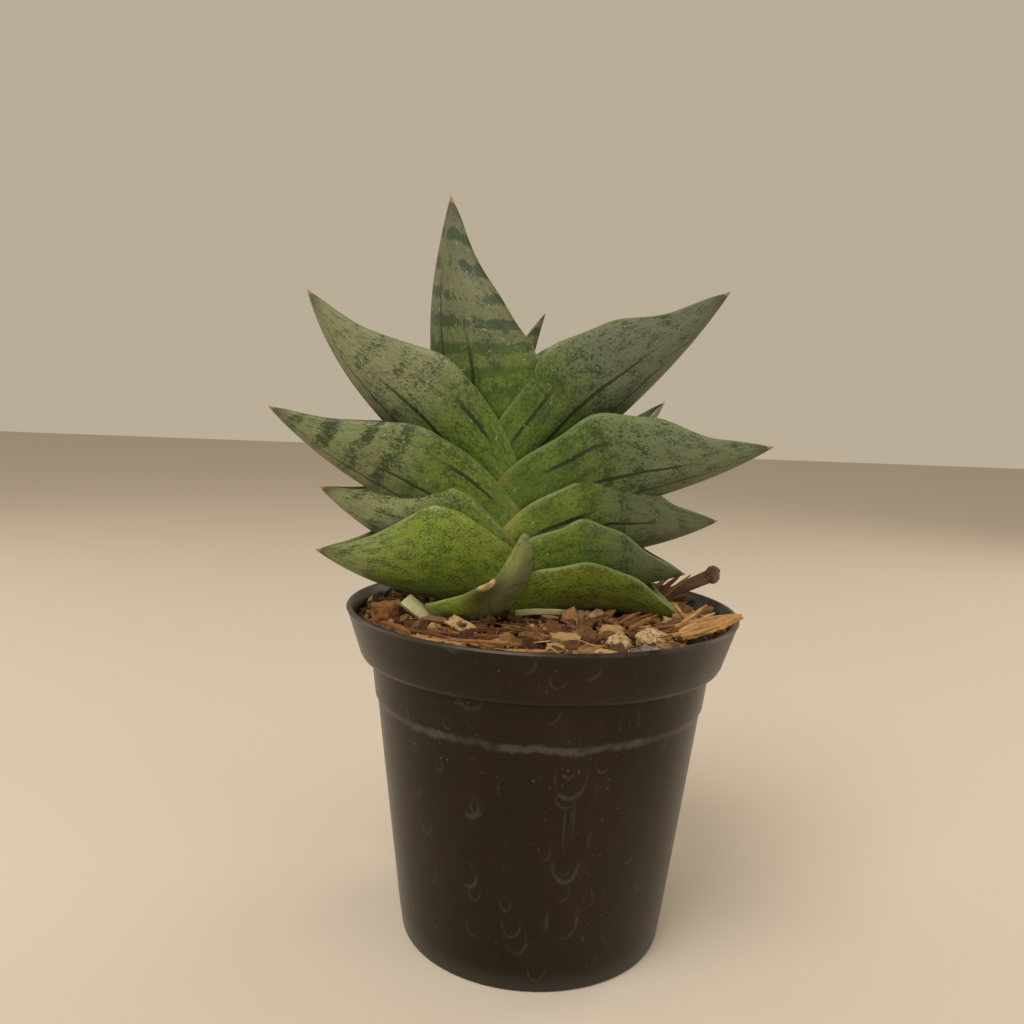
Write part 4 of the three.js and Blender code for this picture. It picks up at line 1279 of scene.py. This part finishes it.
@dataclass
class TopDressing:
    """Hundreds of small loose scraps spread over the mix. Sizes are in millimetres."""

    surface: MixSurface
    flakes: int = 430
    blocks: int = 330
    fibres: int = 300
    crumbs: int = 1100
    seed: int = 7
    variants: int = 6
    stem_clearance: float = 7
    overlap: float = 0.7
    edge_gap: float = 1.6
    wall_gap: float = 0.2
    kept_clear: list[tuple[Vector, Vector]] = field(default_factory=list)

    def __post_init__(self) -> None:
        """Finds the larger pieces that the scraps stay off."""
        larger = ("pebble", "bark_round", "bark_block", "bark_plate", "husk_chunk", "leaf_stub", "dry_sheath")
        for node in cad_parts:
            if node.startswith(larger):
                self.kept_clear.append(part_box(node))

    def _covered(self, x: float, y: float) -> bool:
        """True where the stem or a larger piece lies."""
        if math.hypot(x - Stem.x, y) < self.stem_clearance:
            return True
        lap = self.overlap
        for low, high in self.kept_clear:
            beside = low.x / MM + lap < x < high.x / MM - lap
            if beside and low.y / MM + lap < y < high.y / MM - lap:
                return True
        return False

    def _model(self, kind: Scrap, variant: int) -> tuple[np.ndarray, list, np.ndarray]:
        """Models one scrap of unit length.

        Args:
            kind: Its shape.
            variant: Which of the variants.

        Returns:
            Points, faces and the u, v of each point.
        """
        rng = np.random.default_rng(self.seed * 100 + variant + 17 * len(kind.value))
        deselect()
        if kind is Scrap.CRUMB:
            bpy.ops.mesh.primitive_ico_sphere_add(subdivisions=1, radius=0.5)
        elif kind is Scrap.FIBRE:
            lying = (0, math.pi / 2, 0)
            bpy.ops.mesh.primitive_cylinder_add(vertices=4, radius=0.5, depth=1, rotation=lying)
        else:
            bpy.ops.mesh.primitive_cube_add(size=1)
        piece = in_place(bpy.context.object)
        with editing(piece):
            if kind in (Scrap.FLAKE, Scrap.BLOCK):
                bpy.ops.mesh.subdivide(number_cuts=2)
            if kind is Scrap.FIBRE:
                bpy.ops.mesh.subdivide(number_cuts=1)
        places = points_of(piece)
        rounding = {Scrap.FLAKE: 0.16, Scrap.BLOCK: 0.22, Scrap.FIBRE: 0.05, Scrap.CRUMB: 0.0}[kind]
        jitter = {Scrap.FLAKE: 0.13, Scrap.BLOCK: 0.12, Scrap.FIBRE: 0.05, Scrap.CRUMB: 0.14}[kind]
        size = np.linalg.norm(places, axis=1, keepdims=True)
        places = places * (1 - rounding * (size / size.max()) ** 3)
        if kind is not Scrap.CRUMB:
            places[:, 1] *= 1 - 0.35 * np.abs(places[:, 0]) ** 2 * rng.uniform(0.5, 2.2)
            places[:, 2] += 0.25 * rng.uniform(-1, 1) * places[:, 0] ** 2
        places += rng.uniform(-jitter, jitter, places.shape) * [0.6, 0.6, 0.6]
        faces = [tuple(face.vertices) for face in piece.data.polygons]
        uv = np.stack([places[:, 0], places[:, 1] + places[:, 2] * 0.7], -1)
        bpy.data.objects.remove(piece)
        return places, faces, uv

    def _spots(self, count: int, rng: np.random.Generator) -> np.ndarray:
        """Random places on the mix, none under the stem or a larger piece."""
        spots: list[tuple[float, float]] = []
        while len(spots) < count:
            reach = math.sqrt(rng.uniform()) * (self.surface.radius - self.edge_gap)
            turn = rng.uniform(0, 2 * math.pi)
            x, y = reach * math.cos(turn), reach * math.sin(turn)
            if not self._covered(x, y):
                spots.append((x, y))
        return np.array(spots)

    def build(self, kind: Scrap, count: int, tints: tuple[float, float], slot: str, finish: GrainFinish,
              materials: dict) -> bpy.types.Object:
        """Makes one joined piece of all the scraps of a kind.

        Args:
            kind: The scraps' shape.
            count: How many.
            tints: Range of the tint that each one carries.
            slot: The record's material slot.
            finish: The finish.
            materials: Materials made so far, by finish name.

        Returns:
            The finished piece.
        """
        rng = np.random.default_rng(self.seed + len(kind.value) * 31)
        models = [self._model(kind, variant) for variant in range(self.variants)]
        points, faces, uvs, tint = [], [], [], []
        offset = 0
        for x, y in self._spots(count, rng):
            size, lift, lean = self._pose(kind, rng)
            places, loops, uv = models[rng.integers(len(models))]
            turn = Euler((rng.normal(0, lean), rng.normal(0, lean), rng.uniform(0, 2 * math.pi)))
            moved = (places * size) @ np.array(turn.to_matrix()).T
            moved += [x, y, self.surface.height(x, y) + lift]
            points.append(self._inside(moved))
            faces.extend(tuple(i + offset for i in loop) for loop in loops)
            uvs.append(uv * [size[0] * GRAIN_PER_MM, size[1] * GRAIN_PER_MM])
            tint.append(np.full(len(places), tints[0] + (tints[1] - tints[0]) * rng.beta(1.2, 1.7)))
            offset += len(places)
        mesh = bpy.data.meshes.new("scraps_" + kind.value)
        mesh.from_pydata(np.vstack(points) * MM, [], faces)
        piece = bpy.data.objects.new("loose_" + kind.value + "s", mesh)
        bpy.context.scene.collection.objects.link(piece)
        lay_uv(piece, np.vstack(uvs))
        number_on_points(piece, "tint", np.concatenate(tint))
        active(piece)
        bpy.ops.object.shade_smooth_by_angle(angle=math.radians(35))
        return seat(piece, slot, made_once(finish, materials))

    @staticmethod
    def _pose(kind: Scrap, rng: np.random.Generator) -> tuple[np.ndarray, float, float]:
        """Size, lift above the mix and lean of one scrap."""
        if kind is Scrap.FLAKE:
            length = rng.uniform(3.5, 11.0)
            size = (length, length * rng.uniform(0.18, 0.55), rng.uniform(0.6, 1.5))
            return np.array(size), rng.uniform(-0.2, 1.5), 0.28
        if kind is Scrap.BLOCK:
            length = rng.uniform(2.6, 7.6)
            size = (length, length * rng.uniform(0.5, 0.8), rng.uniform(1.4, 3.2))
            return np.array(size), rng.uniform(-0.7, 1.1), 0.5
        if kind is Scrap.FIBRE:
            width = rng.uniform(0.14, 0.32)
            return np.array([rng.uniform(4, 12), width, width]), rng.uniform(0.4, 2.2), 0.14
        length = rng.uniform(0.6, 1.7)
        return np.array([length, length * 0.8, length * 0.7]), rng.uniform(0.2, 1.4), 1.0

    def _inside(self, places: np.ndarray) -> np.ndarray:
        """Keeps a scrap's points inside the pot's wall."""
        reach = np.hypot(places[:, 0], places[:, 1])
        scale = np.minimum(1.0, (self.surface.radius - self.wall_gap) / np.maximum(reach, 1e-6))
        places[:, 0] *= scale
        places[:, 1] *= scale
        return places


@dataclass
class Splinter:
    """A long torn fibre of husk or bark between two points, in millimetres."""

    start: tuple[float, float, float]
    end: tuple[float, float, float]
    width: float
    thickness: float
    tint: float

    def build(self, seed: int) -> bpy.types.Object:
        """Makes the splinter.

        Args:
            seed: Seed of its unevenness.

        Returns:
            The splinter, torn to a point at both ends.
        """
        start, end = Vector(self.start) * MM, Vector(self.end) * MM
        deselect()
        bpy.ops.mesh.primitive_cube_add(size=1)
        piece = bpy.context.object
        with editing(piece):
            bpy.ops.mesh.subdivide(number_cuts=5)
        rng = np.random.default_rng(seed)
        places = points_of(piece)
        along = places[:, 0] * 2
        waist = np.where(along > 0, 1 - 0.85 * along**2, 1 - 0.5 * along**4)
        rough = rng.uniform(0.82, 1.18, places.shape)
        places[:, 1] = places[:, 1] * waist * rough[:, 1] * self.width * MM
        places[:, 2] = places[:, 2] * (0.5 + 0.5 * waist) * rough[:, 2] * self.thickness * MM
        places[:, 1] += 0.10 * self.width * MM * np.sin(along * 4 + seed)
        places[:, 0] = places[:, 0] * (end - start).length + (rough[:, 0] - 1) * 0.3 * MM
        number_on_points(piece, "tint", self.tint)
        flat = np.stack([places[:, 0], places[:, 1] + places[:, 2]], -1)
        lay_uv(piece, flat / MM * GRAIN_PER_MM)
        turn = (end - start).to_track_quat("X", "Z").to_matrix()
        set_points(piece, places @ np.array(turn).T + np.array((start + end) / 2))
        return piece


class Bedding:
    """The mix, its loose dressing, and the larger loose pieces."""

    SPLINTERS = (
        Splinter((17.4, -18.3, 84.6), (22.9, -16.9, 87.3), 0.9, 0.6, 0.42),
        Splinter((18.7, -19.6, 84.6), (25.6, -17.8, 87.2), 1.0, 0.6, 0.30),
        Splinter((19.1, -24.4, 84.8), (26.3, -20.9, 87.6), 1.1, 0.7, 0.48),
        Splinter((16.2, -16.6, 84.6), (22.4, -13.8, 86.3), 0.8, 0.5, 0.25),
        Splinter((32.2, -10.0, 88.2), (33.9, -21.1, 85.4), 1.0, 0.7, 0.62),
        Splinter((31.0, -24.0, 85.8), (40.5, -10.5, 88.2), 1.1, 0.7, 0.70),
        Splinter((30.0, -29.0, 85.6), (40.6, -18.0, 87.9), 1.2, 0.7, 0.80),
        Splinter((27.5, -25.5, 85.4), (42.8, -22.0, 88.4), 1.6, 0.8, 0.66),
        Splinter((27.9, -31.0, 85.2), (42.4, -25.0, 87.6), 1.3, 0.7, 0.74),
        Splinter((20.2, -27.6, 85.0), (33.4, -23.8, 86.2), 1.6, 0.8, 0.36),
        Splinter((24.2, -31.7, 84.6), (36.1, -27.7, 86.0), 1.4, 0.8, 0.55),
        Splinter((-27.0, -28.1, 83.4), (-9.8, -33.2, 83.9), 2.6, 0.9, 0.30),
        Splinter((-24.2, -34.0, 83.2), (-7.0, -38.0, 83.7), 2.2, 0.9, 0.52),
        Splinter((-34.0, -25.2, 83.3), (-22.0, -34.5, 83.6), 2.0, 0.9, 0.20),
        Splinter((-17.9, -26.1, 83.9), (1.5, -27.2, 84.3), 1.8, 0.8, 0.18),
        Splinter((-38.6, -19.0, 83.2), (-31.2, -30.0, 83.4), 2.2, 1.0, 0.40),
        Splinter((-14.0, -40.6, 82.8), (2.0, -41.5, 83.3), 1.6, 0.9, 0.62),
        Splinter((-30.0, -33.0, 83.0), (-18.0, -38.6, 83.3), 1.5, 0.9, 0.70),
        Splinter((24.5, 14.0, 84.2), (31.0, 15.2, 91.0), 3.0, 0.5, 0.42),
        Splinter((27.0, 12.6, 84.2), (35.4, 14.6, 90.2), 2.4, 0.5, 0.52),
        Splinter((30.5, 13.2, 84.0), (39.0, 15.6, 91.2), 2.2, 0.5, 0.34),
        Splinter((33.0, 14.2, 84.0), (42.0, 16.4, 91.0), 1.3, 0.5, 0.60),
        Splinter((22.5, 15.2, 84.4), (27.4, 15.6, 90.0), 1.8, 0.5, 0.30),
    )

    # Start of the node's name, slot, tint (None draws one), roughness in millimetres, cuts, stretch, finish
    LARGER = (
        ("bark_chip", "bark", None, 0.6, 4, 3.0, BARK),
        ("bark_sliver", "bark", 0.35, 0.35, 4, 3.0, BARK),
        ("bark_plate_left", "bark", 0.55, 0.7, 4, 3.0, HUSK),
        ("bark", "bark", 0.68, 0.7, 4, 3.0, BARK),
        ("husk_chunk", "husk", 0.40, 1.6, 5, 3.0, HUSK),
        ("husk", "husk", 0.66, 1.0, 6, 7.0, HUSK),
        ("pebble_cream", "cream_stone", 0.5, 0.8, 5, 1.0, CREAM),
        ("pebble", "grey_stone", 0.5, 0.8, 5, 1.0, GREY),
        ("twig", "twig_wood", 0.55, 1.1, 2, 2.2, TWIG),
        ("leaf_stub", "dry_leaf", 0.62, 0.2, 3, 6.0, DRY),
        ("dry_sheath", "dry_leaf", 0.30, 0.2, 3, 6.0, DRY),
        ("rootstock", "root", 0.5, 0.3, 1, 3.0, ROOT),
    )

    def __init__(self) -> None:
        """Sets the surface and an empty store of materials."""
        self.surface = MixSurface()
        self.materials: dict = {}

    def build(self) -> None:
        """Makes everything that lies in the pot."""
        self._mix()
        dressing = TopDressing(self.surface)
        dressing.build(Scrap.BLOCK, dressing.blocks, (0.05, 0.75), "bark", BARK, self.materials)
        dressing.build(Scrap.FLAKE, dressing.flakes, (0.12, 0.92), "bark", BARK, self.materials)
        dressing.build(Scrap.FIBRE, dressing.fibres, (0.2, 0.9), "husk", HUSK, self.materials)
        dressing.build(Scrap.CRUMB, dressing.crumbs, (0.0, 0.8), "husk", HUSK, self.materials)
        self._splinters()
        for node in sorted(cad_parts):
            self._large(node)

    def _splinters(self) -> None:
        """The torn fibres by the rim, joined into one piece."""
        pieces = [splinter.build(i) for i, splinter in enumerate(self.SPLINTERS)]
        active(pieces[0])
        for piece in pieces:
            piece.select_set(True)
        bpy.ops.object.join()
        joined = bpy.context.object
        joined.name = "husk_splinters"
        bpy.ops.object.shade_smooth_by_angle(angle=math.radians(40))
        seat(joined, "husk", made_once(HUSK, self.materials))

    def _mix(self) -> None:
        """The body of the mix, cut finer on top and roughened."""
        piece = solid_copy("potting_mix", "mix_body")
        with editing(piece):
            bpy.ops.mesh.remove_doubles(threshold=1e-6)
            bpy.ops.mesh.subdivide(number_cuts=3)
        places = points_of(piece)
        x, y = places[:, 0] / MM, places[:, 1] / MM
        rough = np.zeros(len(places))
        for s in (0.9, 1.9, 3.7, 6.1):
            rough += np.sin(x * s + y * s * 0.7 + s) * np.sin(y * s * 1.1 - x * s * 0.4) / s
        top = places[:, 2] / MM > self.surface.level - 1.5
        inside = np.hypot(x, y) < self.surface.radius - 1.5
        places[:, 2] += np.where(top & inside, np.clip(rough, -1, 1) * 0.6 * MM - 0.3 * MM, 0)
        set_points(piece, places)
        active(piece)
        bpy.ops.object.shade_smooth()
        seat(piece, "potting_mix", SoilFinish().material(), "potting_mix")

    def _large(self, node: str) -> None:
        """One of the larger loose pieces, by the start of its node's name."""
        for start, slot, tint, rough, cuts, stretch, finish in self.LARGER:
            if node.startswith(start):
                if tint is None:
                    tint = random.Random(hash_name(node)).uniform(0.3, 0.75)
                Weathered(node, slot, tint, rough, cuts, stretch).build(finish, self.materials)
                return


# ---------------------------------------------------------------- the studio


@dataclass
class Studio:
    """Floor, backdrop light and camera."""

    camera_place: tuple[float, float, float] = (-0.0136, -0.2305, 0.1340)
    yaw: float = -1.24
    pitch: float = -6.29
    roll: float = 2.16
    lens: float = 31.8
    floor_colour: Colour = (0.60, 0.54, 0.46)

    def _floor(self) -> None:
        """A plain pale floor under the pot."""
        deselect()
        bpy.ops.mesh.primitive_plane_add(size=6, location=(0, 0, 0))
        floor = bpy.context.object
        floor.name = "studio_floor"
        g = Graph("studio_floor")
        floor.data.materials.append(g.finish({"Base Color": (*self.floor_colour, 1), "Roughness": 0.85}))

    def _light(self, name: str, place: Sequence[float], target: Sequence[float], size: float, power: float,
               colour: Colour) -> None:
        """One soft area light aimed at a point."""
        data = bpy.data.lights.new(name, "AREA")
        data.shape = "DISK"
        data.size = size
        data.energy = power
        data.color = colour
        light = bpy.data.objects.new(name, data)
        light.location = place
        aim = Vector(target) - Vector(place)
        light.rotation_euler = aim.to_track_quat("-Z", "Y").to_euler()
        bpy.context.scene.collection.objects.link(light)

    def _camera(self) -> None:
        """The camera, at its place, yaw, pitch and roll."""
        data = bpy.data.cameras.new("camera")
        data.lens = self.lens
        data.sensor_width = 36.0
        data.clip_start = 0.005
        data.clip_end = 20
        camera = bpy.data.objects.new("camera", data)
        yaw, pitch, roll = (math.radians(a) for a in (self.yaw, self.pitch, self.roll))
        level = math.cos(pitch)
        forward = Vector((-math.sin(yaw) * level, math.cos(yaw) * level, math.sin(pitch)))
        turn = forward.to_track_quat("-Z", "Y").to_matrix() @ Matrix.Rotation(roll, 3, "Z")
        camera.matrix_world = Matrix.Translation(self.camera_place) @ turn.to_4x4()
        bpy.context.scene.collection.objects.link(camera)
        bpy.context.scene.camera = camera

    def build(self) -> None:
        """Sets up the studio."""
        self._camera()
        self._floor()
        target = (0, 0, 0.10)
        self._light("key", (-0.35, -0.55, 0.95), target, 0.7, 8.5, (1.0, 0.94, 0.85))
        self._light("fill", (0.75, -0.6, 0.45), target, 0.9, 2.0, (1.0, 0.93, 0.84))
        self._light("rim_left", (-0.8, 0.25, 0.35), target, 0.6, 1.5, (1.0, 0.92, 0.82))
        self._light("rim_right", (0.7, 0.45, 0.55), target, 0.6, 2.0, (1.0, 0.92, 0.82))
        world = bpy.data.worlds.new("studio")
        world.use_nodes = True
        background = world.node_tree.nodes["Background"]
        background.inputs["Color"].default_value = (0.80, 0.68, 0.51, 1)
        background.inputs["Strength"].default_value = 0.62
        bpy.context.scene.world = world
        bpy.context.scene.view_settings.view_transform = "Standard"


# ---------------------------------------------------------------- all together


def main() -> None:
    """Builds the studio, the pot, the bedding and the plant in order."""
    logging.basicConfig(level=logging.INFO, format="%(name)s: %(message)s")
    Studio().build()
    pot = Pot()
    pot.dress(pot.build())
    Bedding().build()
    Rosette().build()


if __name__ == "__main__":
    main()
